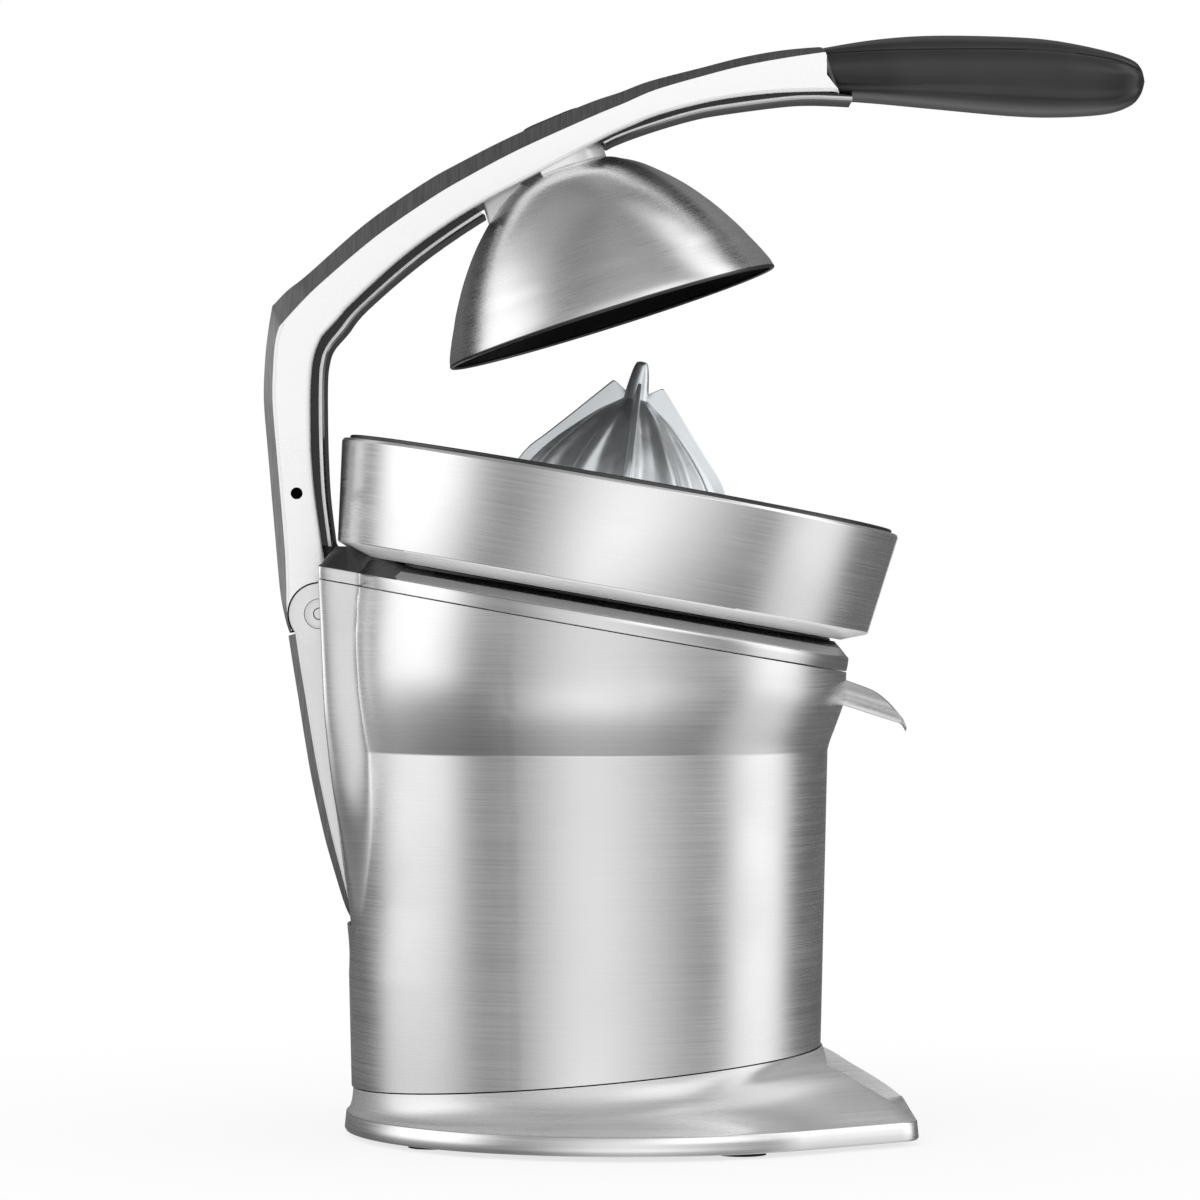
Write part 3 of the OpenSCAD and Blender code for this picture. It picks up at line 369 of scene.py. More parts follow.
M = {
    "shell": steel("brushed_shell", 0.88, 0.26),
    "ring": steel("brushed_ring", 0.86, 0.22, tilt=HEAD_TILT),
    "bowl": steel("brushed_bowl", 0.97, 0.24, tilt=HEAD_TILT, bump=0.03),
    "dome": steel("fine_dome", 0.90, 0.28, scale=(90, 90, 2600), tilt=DOME_TILT, bump=0.006,
                  vary=0.02, aniso=0.35, wear=0.0),
    "dome_in": plastic("dome_inside", (0.004, 0.004, 0.004), 0.5, 500, specular=0.1),
    "rim_dark": steel("dark_rim", 0.10, 0.3, tilt=DOME_TILT),
    "rim_grey": steel("grey_rim", 0.42, 0.25, aniso=0.0, radial=False),
    # A paler, less metallic copy of the bowl's steel: painted light on the bowl's downward-facing
    # lower edge
    "bowl_painted_light": steel("bowl_underside_painted_light", 1.0, 0.3, tilt=HEAD_TILT, bump=0.03, metal=0.3),
    # A darker copy of the ring's steel: painted shade on the ring's slope under the bowl
    "slope": steel("ring_slope_painted_shade", 0.5, 0.24, tilt=HEAD_TILT),
    "foot": steel("brushed_foot", 0.82, 0.28, bump=0.08, metal=0.75),
    "lip": steel("bright_foot", 0.98, 0.26, bump=0.05),
    "polish": steel("polished_cast", 1.0, 0.24, scale=(500, 500, 500), bump=0.006,
                    vary=0.012, aniso=0.0, radial=False, metal=0.3, wear=0.0),
    "strip": steel("brushed_strip", 0.25, 0.36, scale=(2600, 50, 90), bump=0.2, vary=0.22,
                   aniso=0.0, radial=False),
    "plate": steel("satin_plate", 0.93, 0.3, scale=(700, 700, 700), bump=0.03, vary=0.02,
                   aniso=0.0, radial=False, metal=0.6),
    "pin": steel("turned_pin", 0.60, 0.2, scale=(300, 2000, 300), aniso=0.0, radial=False),
    "pin_dark": steel("dark_pin", 0.05, 0.35, scale=(300, 2000, 300), aniso=0.0, radial=False),
    "reamer": steel("satin_reamer", 0.93, 0.33, scale=(260, 260, 260), bump=0.02, vary=0.03,
                    aniso=0.0, tint=(0.93, 0.975, 1.0), radial=False, metal=0.85),
    "grip": plastic("soft_grip", (0.017, 0.017, 0.0185), 0.36, 2600, bump=0.10, specular=0.62),
    "black": plastic("black_trim", (0.008, 0.008, 0.009), 0.28, 1500, bump=0.04),
    "dark": plastic("dark_moulding", (0.045, 0.045, 0.048), 0.5),
    "white": plastic("white_nylon", (0.8, 0.79, 0.75), 0.45, vary=0.04),
    "rubber": plastic("black_rubber", (0.02, 0.02, 0.02), 0.7, 1800, bump=0.15),
    "brass": steel("turned_brass", 0.62, 0.25, tint=(1.0, 0.78, 0.42), radial=False),
    "copper": steel("enamelled_copper", 0.6, 0.35, tint=(1.0, 0.5, 0.25), radial=False),
    "iron": steel("dark_iron", 0.22, 0.5, radial=False, aniso=0.0),
    "zinc": steel("zinc_plate", 0.6, 0.4, radial=False, aniso=0.0),
    "board": plastic("board_green", (0.03, 0.2, 0.07), 0.4),
    "red": plastic("red_plunger", (0.5, 0.05, 0.04), 0.4),
}

FINISH = {
    "shell": ["body_shell", "spout"], "ring": ["top_ring"], "bowl": ["juice_bowl"],
    "dome": ["strainer", "press_dome"], "polish": ["arm"], "plate": ["rocker", "dome_pedestal"],
    "foot": ["base_foot"], "reamer": ["reamer"], "grip": ["grip"],
    "black": ["arm_liner", "release_button", "strut", "strut_upper_pin", "top_deck"],
    "pin": ["base_screws", "deck_screws", "frame_screws", "grip_screws", "drive_spindle",
            "idler_axle", "rotor_shaft", "rocker_pin", "rocker_spring", "knuckle_pin",
            "strut_lower_pin", "dome_stud", "button_spring"],
    "dark": ["base_plate", "gear_housing", "gear_cover", "micro_switch"],
    "iron": ["pivot_frame", "stator_stack", "rotor_core"], "white": ["output_gear", "idler_gear"],
    "brass": ["spindle_bush", "motor_pinion", "motor_bearings"], "copper": ["stator_windings"],
    "rubber": ["rubber_feet", "spindle_seal", "cord_grommet"],
    "zinc": ["motor_can", "motor_end_plate"], "board": ["control_board"],
    "red": ["switch_plunger"],
}
for key, names in FINISH.items():
    for node_name in names:
        NODES[node_name].data.materials.clear()
        NODES[node_name].data.materials.append(M[key])


# Body shell and ring

def soft_max(a, b, k):
    """The larger of two values, blended where they are closer than k."""
    h = max(k - abs(a - b), 0.0) / k
    return max(a, b) + h * h * k / 4


def soft_min(a, b, k):
    return -soft_max(-a, -b, k)


def seam_z(x):
    """Height of the seam under the ring, in its tilted plane."""
    return HEAD_AT[2] + (SEAM_W - (x - HEAD_AT[0]) * math.sin(HEAD_TILT)) / math.cos(HEAD_TILT)


def foot_z(x):
    return FOOT_SEAM_H + x * FOOT_SEAM_TAN


# Growth of the cup from its crease to the ring, in front and elsewhere
FRONT_SWELL = spline([(0.0, 0.0), (0.12, 0.14), (0.345, 0.49), (0.6, 0.857), (0.8, 0.96),
                      (1.0, 1.0)], 6)
SIDE_SWELL = 2.4
BULGE = 2.4
RING_X = 3.4
CUP_R, CUP_SQUASH = RING_R - 0.4, 0.0152
# The radius where columns leave the spine, and the least angle between its two edges
SPREAD_R, LEAST_TURN = 92.0, 0.012
# The spine at the back: its reach, its half width and how flat it is, by height
SPINE_BACK = spline([(60.0, 80.5), (76.0, 88.0), (92.0, 91.2), (105.0, 93.2), (116.0, 94.3),
                     (133.0, 96.0), (149.0, 97.2), (163.0, 98.2), (192.0, 99.6), (211.0, 100.5),
                     (240.0, 101.0)], 8)
SPINE_HALF = spline([(60.0, 8.0), (76.0, 22.0), (86.0, 31.7), (105.0, 37.5), (128.0, 40.6),
                     (150.0, 40.8), (168.0, 39.8), (186.0, 37.4), (205.0, 34.4), (240.0, 31.0)],
                    8)
SPINE_FLAT = spline([(60.0, 0.0), (80.0, 0.08), (100.0, 0.4), (128.0, 0.82), (150.0, 0.97),
                     (170.0, 1.0), (240.0, 1.0)], 8)
# Roundness of the spine's outer corner by height, and of the hollow beside it
SPINE_ROUND = spline([(60.0, 26.0), (100.0, 24.0), (125.0, 17.0), (150.0, 11.0), (175.0, 8.0),
                      (240.0, 7.0)], 8)
HOLLOW = [(60.0, 7.0), (125.0, 6.5), (148.0, 4.0), (162.0, 1.4), (240.0, 1.0)]
# The body swells a little at the back, from this height down, below the spine
TAIL_SWELL, TAIL_TOP, TAIL_RUN = 1.5, 88.0, 28.0


def along(table, t):
    """A value read off a table of (place, value) rows."""
    if t <= table[0][0]:
        return table[0][1]
    for (a, va), (b, vb) in zip(table, table[1:]):
        if t <= b:
            return va + (vb - va) * (t - a) / (b - a)
    return table[-1][1]


def shell_point(a, z, inset=0.0):
    """A place on the body's outer skin at a plan angle and a height."""
    c, s = math.cos(a), math.sin(a)
    if z <= CREASE_H:
        cx, r = 0.0, BODY_R - BODY_TAPER * (CREASE_H - z) / (CREASE_H - FOOT_SEAM_H)
    else:
        x_top = RING_X + (RING_R - 1.5) * c
        t = min((z - CREASE_H) / max(seam_z(x_top) - CREASE_H, 1.0), 1.0)
        front = unit((c - 0.1) / 0.8)
        side = 1.0 - (1.0 - t) ** SIDE_SWELL
        f = side + (along(FRONT_SWELL, t) - side) * front
        top_r = CUP_R * (1 - CUP_SQUASH * c * c)
        rear = unit((0.2 - c) / 0.8)
        cx, r = RING_X * f, BODY_R + (top_r - BODY_R) * f + BULGE * rear * math.sin(math.pi * t)
    r -= inset
    rho = cx * c + math.sqrt(max(r * r - (cx * s) ** 2, 1.0))
    if c < -0.3:
        rho += TAIL_SWELL * unit((TAIL_TOP - z) / TAIL_RUN) * max((-c - 0.5) / 0.5, 0.0) ** 2
        flat = along(SPINE_FLAT, z)
        back = (along(SPINE_BACK, z) - inset) * (1 + flat * (1 / abs(c) - 1))
        side = (along(SPINE_HALF, z) - inset) / max(abs(s), 1e-3)
        spine = soft_min(back, side, along(SPINE_ROUND, z))
        rho = soft_max(rho, spine, along(HOLLOW, z)) - 0.1
    return rho * c, rho * s


def spine_turns(z):
    """Angles from the back at which the spine turns its corner and meets the cup."""
    w = along(SPINE_HALF, z)
    turn = math.atan2(w, along(SPINE_BACK, z))
    return turn, max(math.asin(min(w / SPREAD_R, 1.0)), turn + LEAST_TURN)


def plan_shares():
    """Places once round, in turns from the back, close together where the spine turns."""
    half, u = [0.0], 0.0
    while u < 1.0:
        u += 0.0017 if 0.095 < u < 0.15 else 0.0067
        half.append(min(u, 1.0))
    return half + [2.0 - u for u in reversed(half[1:-1])]


SHARES = plan_shares()
CORNER_SHARE, HOLLOW_SHARE = 0.11, 0.13
LOW_ROWS, HIGH_ROWS = 46, 44
CREASE_RUN = 0.4
# Open seams over the foot and under the ring, and the sheet's thickness
LOW_GAP, HIGH_GAP, SHEET = 0.25, 0.35, 1.5


def plan_angle(u, z):
    """The plan angle of a place round the skin, so that columns follow the spine's edges."""
    turn, meet = spine_turns(z)
    v = u if u <= 1.0 else 2.0 - u
    if v < CORNER_SHARE:
        a = turn * v / CORNER_SHARE
    elif v < HOLLOW_SHARE:
        a = turn + (meet - turn) * (v - CORNER_SHARE) / (HOLLOW_SHARE - CORNER_SHARE)
    else:
        a = meet + (math.pi - meet) * (v - HOLLOW_SHARE) / (1.0 - HOLLOW_SHARE)
    return math.pi - a if u <= 1.0 else math.pi + a


def column(u):
    """Places up one column of the skin, with a row on each side of the crease."""
    lo, hi = 40.0, 190.0
    for _ in range(6):
        lo = foot_z(shell_point(plan_angle(u, lo), lo)[0]) + LOW_GAP
        hi = seam_z(shell_point(plan_angle(u, hi), hi)[0]) - HIGH_GAP
    below, above = CREASE_H - CREASE_RUN, CREASE_H + CREASE_RUN
    levels = [lo + (below - lo) * i / (LOW_ROWS - 1) for i in range(LOW_ROWS)]
    levels += [CREASE_H] + [above + (hi - above) * i / (HIGH_ROWS - 1) for i in range(HIGH_ROWS)]
    return [(*shell_point(plan_angle(u, z), z), z) for z in levels]


def inward(p, d):
    r = math.hypot(p[0], p[1])
    return (p[0] * (1 - d / r), p[1] * (1 - d / r), p[2])


def shell_rings():
    """The body's skin: up outside, over the edge and down inside, on fewer rings."""
    rings = list(zip(*[column(u) for u in SHARES]))
    down = rings[::-16]
    rings.append([inward((x, y, z + 0.12), 0.5) for x, y, z in rings[-1]])
    for ring in down + rings[:1]:
        rings.append([inward(p, SHEET) for p in ring])
    return rings


slot_box = prism("slot_cut", [(-130.0, -SLOT_HALF_W), (-66.0, -SLOT_HALF_W), (-66.0, SLOT_HALF_W),
                              (-130.0, SLOT_HALF_W)], 79.2, 240.0, tuple)
loft("shell_skin", shell_rings(), M["shell"], "base", "brushed_steel", "body_shell", closed=True,
     cuts=[slot_box])


# Ring over the seam: a band, then a slope up to the bowl that is higher over the spine
BAND_H, SLOPE_H, CAP_H = 5.4, 4.9, 2.9
CAP_FROM, CAP_TO = -70.0, -88.0
RING_SHAPE = [(0.3, 0.0, 0.0), (0.0, 0.25, 0.0), (-0.1, BAND_H / 2, 0.0), (0.0, BAND_H - 0.7, 0.0),
              (0.3, BAND_H - 0.15, 0.0), (0.9, BAND_H + 0.2, 0.0),
              (3.6, BAND_H + 0.2 + SLOPE_H / 2, CAP_H * 0.55), (6.4, BAND_H + SLOPE_H, CAP_H),
              (8.2, BAND_H + SLOPE_H, CAP_H), (8.9, BAND_H + SLOPE_H - 1.2, CAP_H),
              (8.9, 0.4, 0.0), (4.0, 0.0, 0.0)]


def ring_rings():
    cols = []
    for u in SHARES:
        z0 = 205.0  # a first guess
        for _ in range(8):
            a = plan_angle(u, z0)
            x, y = shell_point(a, z0)
            z0 = seam_z(x)
        cap = unit((CAP_FROM - x) / (CAP_FROM - CAP_TO))
        cap = cap * cap * (3 - 2 * cap)
        lean = unit((math.cos(a) + 0.85) / 0.5) * math.tan(HEAD_TILT)
        col = []
        for inset, up, extra in RING_SHAPE:
            x, y = shell_point(a, z0, inset)
            col.append((x + up * lean, y, z0 + up + extra * cap + inset * math.cos(a)
                        * math.sin(HEAD_TILT)))
        cols.append(col)
    return list(zip(*cols))


ring = loft("ring_skin", ring_rings(), [M["ring"], M["slope"], M["rim_dark"], M["black"]],
            "base", "brushed_steel", "top_ring", closed=True, cuts=[slot_box], angle=40)
# The ring's upward-facing slope under the bowl is painted shade: darker steel all round, dark rim
# steel over the spine at the back, and black on its upper half away from the back
paint(ring, 1, lambda p, normal: normal.z > 0.35)
paint(ring, 2, lambda p, normal: normal.z > 0.35 and p.x < CAP_FROM)
paint(ring, 3, lambda p, normal: normal.z > 0.35 and p.x > CAP_FROM
      and p.z - seam_z(p.x) > BAND_H + 0.5 * SLOPE_H)
drop(slot_box)


# Bowl, strainer, reamer

bowl_profile = rounded([
    (92.2, -42.7), (101.9, -38.9), (106.9, -1.2), (106.3, 0.0), (104.0, 0.0), (100.4, -37.4),
    (92.0, -41.2), (12.6, -41.2), (12.6, -27.0), (11.1, -27.0), (11.1, -42.7)],
    [0.8, 1.3, 0.8, 0.5, 0.5, 1.3, 1, 1, 0.5, 0.5, 0.5])
bowl = lathe("bowl_skin", bowl_profile, [M["bowl"], M["bowl_painted_light"]], "base", "brushed_steel",
             "juice_bowl", n=240)
# The bowl's downward-facing lower edge gets paler, less metallic steel: painted light for a bright
# reflection along that edge
paint(bowl, 1, lambda p, normal: -normal.z > 0.3 and math.hypot(p.x - HEAD_AT[0], p.y) > 85.0)
lathe("bowl_seat", rounded([(83.0, -44.6), (88.0, -44.6), (88.0, -42.75), (83.0, -42.75)], 0.3),
      M["black"], "base", "black_plastic", n=160)
lathe("bowl_lip", rounded([(103.0, -0.3), (103.9, -0.3), (104.2, 1.1), (103.7, 1.5),
                           (103.1, 1.3)], 0.2),
      M["rim_dark"], "base", "fine_steel", n=200)


REAMER_TIP, REAMER_COLS = 48.1, 288
FIN_TURN = math.radians(3.0)
STEM = [(0, 0), (1.3, -0.1), (2.4, -1.1), (3.4, -5.0), (4.4, -11.5), (5.0, -14.6)]
CONE = [(5.0, -14.6), (8.6, -17.0), (14.0, -20.6), (21.0, -26.8), (28.0, -33.8),
        (34.0, -41.0), (39.6, -50.0), (43.4, -60.0), (46.0, -72.0)]
FLUTE_DEPTH, FLUTE_FROM, FLUTE_RUN = 0.11, -14.0, 14.0


def reamer_verts():
    """The reamer's cone, with a rib each 30 degrees and flutes between the ribs."""
    verts = []
    for r, z in spline(STEM, 5)[:-1] + spline(CONE, 6):
        depth = unit((FLUTE_FROM - z) / FLUTE_RUN)
        for j in range(REAMER_COLS):
            a = 2 * math.pi * j / REAMER_COLS
            rib = abs(math.cos(6 * (a - FIN_TURN)))
            flute = (1 - rib ** 6) ** 1.5
            rr = r * (1 - FLUTE_DEPTH * depth * flute)
            verts.append(head((rr * math.cos(a), rr * math.sin(a), REAMER_TIP + z)))
    return verts


verts = reamer_verts()
faces = skin_faces(len(verts) // REAMER_COLS, REAMER_COLS, False)
# The tip is a single place and needs no end face
del faces[-2]
make("reamer_skin", verts, faces, M["reamer"], "reamer_drive", "reamer_metal", "reamer",
     angle=50)

FIN_EDGE = [(4.1, -12.0), (7.4, -9.8), (9.4, -8.8), (10.6, -9.6), (16.8, -16.6), (24.0, -24.8),
            (31.2, -32.8), (38.3, -41.0), (43.0, -53.0), (45.6, -71.5)]
FIN_ROOT = [(2.0, -15.0), (4.0, -17.5), (5.5, -20.0), (7.0, -22.0), (11.5, -27.0),
            (17.0, -33.5), (23.0, -41.0), (29.5, -49.5), (35.0, -61.0), (37.5, -71.5)]


def fin_rings(turn):
    """A fin from its thin edge to its thicker root in the cone."""
    c, s = math.cos(turn), math.sin(turn)
    rings = []
    for (r, z), (q, w) in zip(spline(FIN_EDGE, 4), spline(FIN_ROOT, 4)):
        thin = 0.55 + 0.5 * min(r / 40.0, 1.0)
        thick = 1.8 + 1.6 * min(q / 30.0, 1.0)
        section = [(r, -thin * 0.6, z), (r - 0.25, -thin, z - 0.4), (q, -thick, w),
                   (q, thick, w), (r - 0.25, thin, z - 0.4), (r, thin * 0.6, z)]
        rings.append([head((u * c - v * s, u * s + v * c, REAMER_TIP + h))
                      for u, v, h in section])
    return rings


for i in range(4):
    loft(f"reamer_fin_{i + 1}", fin_rings(FIN_TURN + math.pi / 2 * i), M["reamer"],
         "reamer_drive", "reamer_metal", angle=22)


# Dome and pedestal

dome_out = spline([(64.4, 0.9), (63.6, 4.0), (61.2, 9.5), (58.9, 14.1), (55.8, 20.2),
                   (49.4, 30.6), (40.6, 41.8), (29.3, 52.4), (21.0, 57.4), (18.6, 58.6)], 6)
DOME_TOP, DOME_COLS = 59.1, 240
dome_out += [(17.2, DOME_TOP), (4.0, DOME_TOP)]
dome_in = [(max(r - 1.1, 3.9), z - (0.0 if z < 12 else 1.1)) for r, z in reversed(dome_out)]
dome_body = lathe("dome_skin", dome_out + dome_in, [M["dome"], M["dome_in"]], "arm",
                  "fine_steel", "press_dome", n=DOME_COLS, place=dome_frame)
for i, face in enumerate(dome_body.data.polygons):
    if len(dome_out) - 1 <= i // DOME_COLS < len(dome_out) + len(dome_in) - 1:
        face.material_index = 1
roll = [(63.75 + 0.75 * math.cos(t * math.pi / 8), 0.8 + 0.75 * math.sin(t * math.pi / 8))
        for t in range(16)]
lathe("dome_rim", roll, M["rim_dark"], "arm", "fine_steel", n=DOME_COLS, place=dome_frame)

PED_R, PED_BACK, PED_TOP = 16.2, -9.5, 68.0
LUG_FROM, LUG_TO, LUG_HALF = -34.0, -17.6, 7.0


def dome_top(r):
    """Height of the dome's outside at a radius, in its own frame."""
    for (ra, za), (rb, zb) in zip(dome_out, dome_out[1:]):
        if rb <= r <= ra:
            return za + (zb - za) * (ra - r) / max(ra - rb, 1e-6)
    return DOME_TOP


def on_dome(name, points, replaces=()):
    """A block that stands on the dome and goes up into the arm."""
    rings = []
    for inset, up in ((0.9, -0.3), (0.6, 0.1), (0.15, 0.4), (0.0, 0.9), (0.0, None)):
        ring_pts = []
        for x, y in points:
            r = math.hypot(x, y)
            z = PED_TOP if up is None else dome_top(r) + up
            ring_pts.append(dome_frame((x * (1 - inset / r), y * (1 - inset / r), z)))
        rings.append(ring_pts)
    loft(name, rings, M["polish"], "arm", "satin_cast", replaces, angle=40)


ped = [(PED_R * math.cos(math.radians(t * 7.5)), PED_R * math.sin(math.radians(t * 7.5)))
       for t in range(-12, 13)]
on_dome("pedestal_skin", ped + [(PED_BACK, PED_R), (PED_BACK, -PED_R)], "dome_pedestal")
on_dome("pedestal_lug", rounded([(LUG_FROM, -LUG_HALF), (LUG_TO, -LUG_HALF), (LUG_TO, LUG_HALF),
                                 (LUG_FROM, LUG_HALF)], 1.2))


# Arm

ARM_OUT = [[(268.2, 450), (264.3, 400), (265.6, 360), (268.6, 330), (271.8, 306)],
           [(271.8, 306), (287.7, 290), (307, 275), (365, 224), (422, 184), (460, 162.5),
            (514.5, 135.1), (584.2, 104.9), (620, 92.7), (650, 81.6), (700, 68.8), (740, 58.6),
            (780, 51.4), (816, 48.3), (822, 49.3)]]
ARM_STRIP = [[(277.4, 450), (273.5, 400), (274.6, 360), (276.8, 340), (280.2, 327.5)],
             [(280.2, 327.5), (299.5, 306), (323, 283), (376.6, 237.6), (430, 200.5), (466, 179),
              (520, 150.5), (592, 118), (624, 104.8), (655, 91.5), (703, 77.5), (742, 67.5),
              (782, 60), (818, 54.6), (825, 54)]]
ARM_LOW = [[(311.5, 450), (311.0, 400), (312.5, 370), (316.0, 352), (322.5, 337)],
           [(322.5, 337), (340, 318), (352, 304.5), (399, 261.5), (440, 230.6), (478, 206.5),
            (530, 178.4), (601.2, 140.7), (632, 126.6), (660, 115.5), (706, 103.6),
            (745, 97.2), (784, 93.6), (830, 92.6), (838.5, 94.5)]]
CHEEK_BULGE = [0.0, 2.2]
GROOVE, ARM_WALL = 0.45, 2.6
TAIL_OUT = [(290.4, 632.8), (287.2, 623), (284.7, 613), (282.4, 602), (280.6, 590),
            (279.2, 577), (276.8, 550), (272.5, 500), (268.2, 450)]
TAIL_STRIP = [(292.4, 631), (290.0, 622), (288.4, 613), (287.4, 602), (287.4, 590),
              (287.0, 577), (285.8, 550), (281.7, 500), (277.4, 450)]
TAIL_LOW = [(294.5, 629), (291.6, 621), (290.8, 610), (296.6, 596), (311.5, 584.2),
            (327.0, 577), (322.5, 545), (315.0, 492), (311.5, 450)]


def arm_ring(o, s, w, bulge=0.0, groove=0.0):
    """One section of the arm's channel: outer face, slanted strip, cheek and inside."""
    o, s, w = Vector(at(*o)), Vector(at(*s)), Vector(at(*w))
    slant = (s - o).length
    flat = max(ARM_HALF_W - max(slant * 0.9, 1.5), 8.0)
    down = (w - s).normalized()
    deep = s + down * min(ARM_WALL, (w - s).length * 0.5)
    middle = (s + w) / 2 + Vector((-down.y, down.x)) * bulge
    y = ARM_HALF_W
    k = min(1.0, (w - s).length / 6.0)
    half = [(o, flat * 0.4), (o, flat), (s - (s - o).normalized() * 0.5, y - 0.55), (s, y - 0.12),
            (s + down * 0.5 * k, y), (s + down * 0.75 * k, y), (s + down * 0.95 * k, y - groove),
            (s + down * 1.2 * k, y - groove), (s + down * 1.4 * k, y), (middle, y),
            (w - down * 1.8 * k, y), (w - down * 1.05 * k, y - 0.15),
            (w - down * 0.45 * k, y - 0.5), (w - down * 0.1 * k, y - 1.1), (w, y - 1.8),
            (w, y - ARM_WALL), (deep, y - ARM_WALL)]
    return mirrored(half)


def arm_rings():
    rings = [arm_ring(*places, groove=GROOVE) for places in
             list(zip(*(spline(line, 4) for line in (TAIL_OUT, TAIL_STRIP, TAIL_LOW))))[:-1]]
    for part in range(2):
        rows = list(zip(*(spline(lines[part], 5) for lines in (ARM_OUT, ARM_STRIP, ARM_LOW))))
        for k, places in list(enumerate(rows))[part:]:
            end = max(k - len(rows) + 6, 0) / 5
            rings.append(arm_ring(*places, -CHEEK_BULGE[part] * end, 0.0 if part else GROOVE))
    return rings


BX, BZ = at(550.5, 121.2, 0.0)
B_TILT = math.radians(22.9)


def button_frame(p):
    return turned(p, -B_TILT, (BX, 0.0, BZ))


def pill(half_l, half_w, r, n=8):
    pts = []
    for cx, cy, start in ((1, 1, 0), (-1, 1, 90), (-1, -1, 180), (1, -1, 270)):
        for k in range(n + 1):
            a = math.radians(start + 90.0 * k / n)
            pts.append((cx * (half_l - r) + r * math.cos(a), cy * (half_w - r) + r * math.sin(a)))
    return pts


recess = prism("button_cut", pill(11.7, 9.4, 5.2), -3.3, 6.0, button_frame)
knuckle_cut = disc("knuckle_cut", PIVOT_B, 12.0, 30)
loft("arm_skin", arm_rings(), [M["strip"], M["polish"]], "arm", "satin_cast", "arm",
     cuts=[recess, knuckle_cut], ring_slots=[0] * 3 + [1] * 27 + [0] * 4, angle=24)
drop(recess, knuckle_cut)

LINER_IN = [(333.9, 547), (328.0, 500), (325.6, 460), (324.6, 420), (324.6, 380),
            (326.4, 361.8), (331.3, 347.4), (345, 331.3), (364.8, 307), (422, 258),
            (485, 215), (540, 186), (600, 148.5), (624, 136.7), (658, 124.8), (692, 115),
            (720, 109.4), (780, 101.4), (812.6, 99.4), (852, 100.9)]
LINER_OUT = [(322, 545), (314.5, 498), (310.5, 460), (308, 420), (308, 385), (310, 365),
             (314, 350), (328, 326), (345, 306), (405, 252), (470, 206), (530, 174),
             (590, 140), (616, 127.0), (651, 114.6), (687, 105.0), (716, 99.6), (780, 92.4),
             (812.6, 91.4), (852, 96.5)]
LINER_PARTS = [("liner_rear", 0, 489.0, 2.0), ("liner_front", 604.0, 900.0, 1.3)]
LINER_HALF_W = 15.0


def liner_rings(x_from, x_to, lip):
    """The liner's sections between two places in the photo, with a bright lip low down."""
    rings = []
    for i, o in zip(spline(LINER_IN, 6), spline(LINER_OUT, 6)):
        if x_from <= i[0] <= x_to:
            i, o = Vector(at(*i)), Vector(at(*o))
            d = (i - o).normalized()
            y = LINER_HALF_W
            rings.append(mirrored([(o, y), (i - d * lip, y), (i - d * lip * 0.9, y - 0.15),
                                   (i - d * lip * 0.4, y - 0.45), (i, y - 1.7)]))
    return rings


for name, x_from, x_to, lip in LINER_PARTS:
    loft(name, liner_rings(x_from, x_to, lip), [M["black"], M["plate"], M["rim_grey"]], "arm",
         "black_plastic", "arm_liner", ring_slots=[0, 1, 1, 2, 0, 2, 1, 1, 0, 0], angle=24)


# Button

CAP_L, CAP_W = 11.2, 8.9
# How far each ring of the cap is drawn in along and across, and its height
CAP_RINGS = [(0.0, 0.0, -1.0), (0.0, 0.0, 0.1), (0.35, 0.35, 0.45), (0.9, 0.9, 0.55),
             (3.0, 3.0, 0.35), (6.0, 5.0, 0.15)]
rings = [[button_frame((x * (1 - ix / CAP_L), y * (1 - iy / CAP_W), z))
          for x, y in pill(CAP_L, CAP_W, 4.9)] for ix, iy, z in CAP_RINGS]
loft("button_cap", rings, M["black"], "button", "black_plastic", "release_button", angle=40)


# Grip

GRIP_TOP = [(808, 53.5), (826, 48.6), (877.7, 40.2), (933, 36.5), (1007.8, 37.9),
            (1056.6, 42.3), (1105.4, 52.5), (1130, 60.5), (1139.5, 68.0), (1143.9, 78.0)]
GRIP_RIDGE = [(808, 58), (832, 57), (877.7, 54.5), (933, 53.5), (1007.8, 53.5), (1056.6, 55.5),
              (1105.4, 62.5), (1130, 69.0), (1139.5, 74.5), (1144.0, 81.0)]
GRIP_BOTTOM = [(808, 95.5), (835, 98.6), (877.7, 102.6), (930, 108.0), (1001, 115.0),
               (1045, 116.6), (1088, 113.6), (1118.4, 106.0), (1136, 96.5), (1143.9, 85.0)]
GRIP_HALF = [(w,) for w in (14.5, 16.4, 17.6, 18.4, 19.0, 18.8, 17.0, 13.0, 8.0, 2.0)]
GRIP_MIDDLE = [(808, 71), (832, 72), (877.7, 70.5), (933, 70), (1007.8, 72), (1056.6, 75),
               (1105.4, 79), (1130, 79.5), (1139.5, 80), (1144.0, 82.5)]
GRIP_CREASE = [(808, 87.5), (838, 88.5), (877.7, 89.5), (930, 91), (1001, 94), (1045, 97),
               (1088, 97), (1118.4, 93), (1136, 88.5), (1143.9, 83.5)]
GRIP_LINES = [GRIP_TOP, GRIP_RIDGE, GRIP_MIDDLE, GRIP_CREASE, GRIP_BOTTOM]
QUARTER = [math.pi / 2 * j / 8 for j in range(9)]


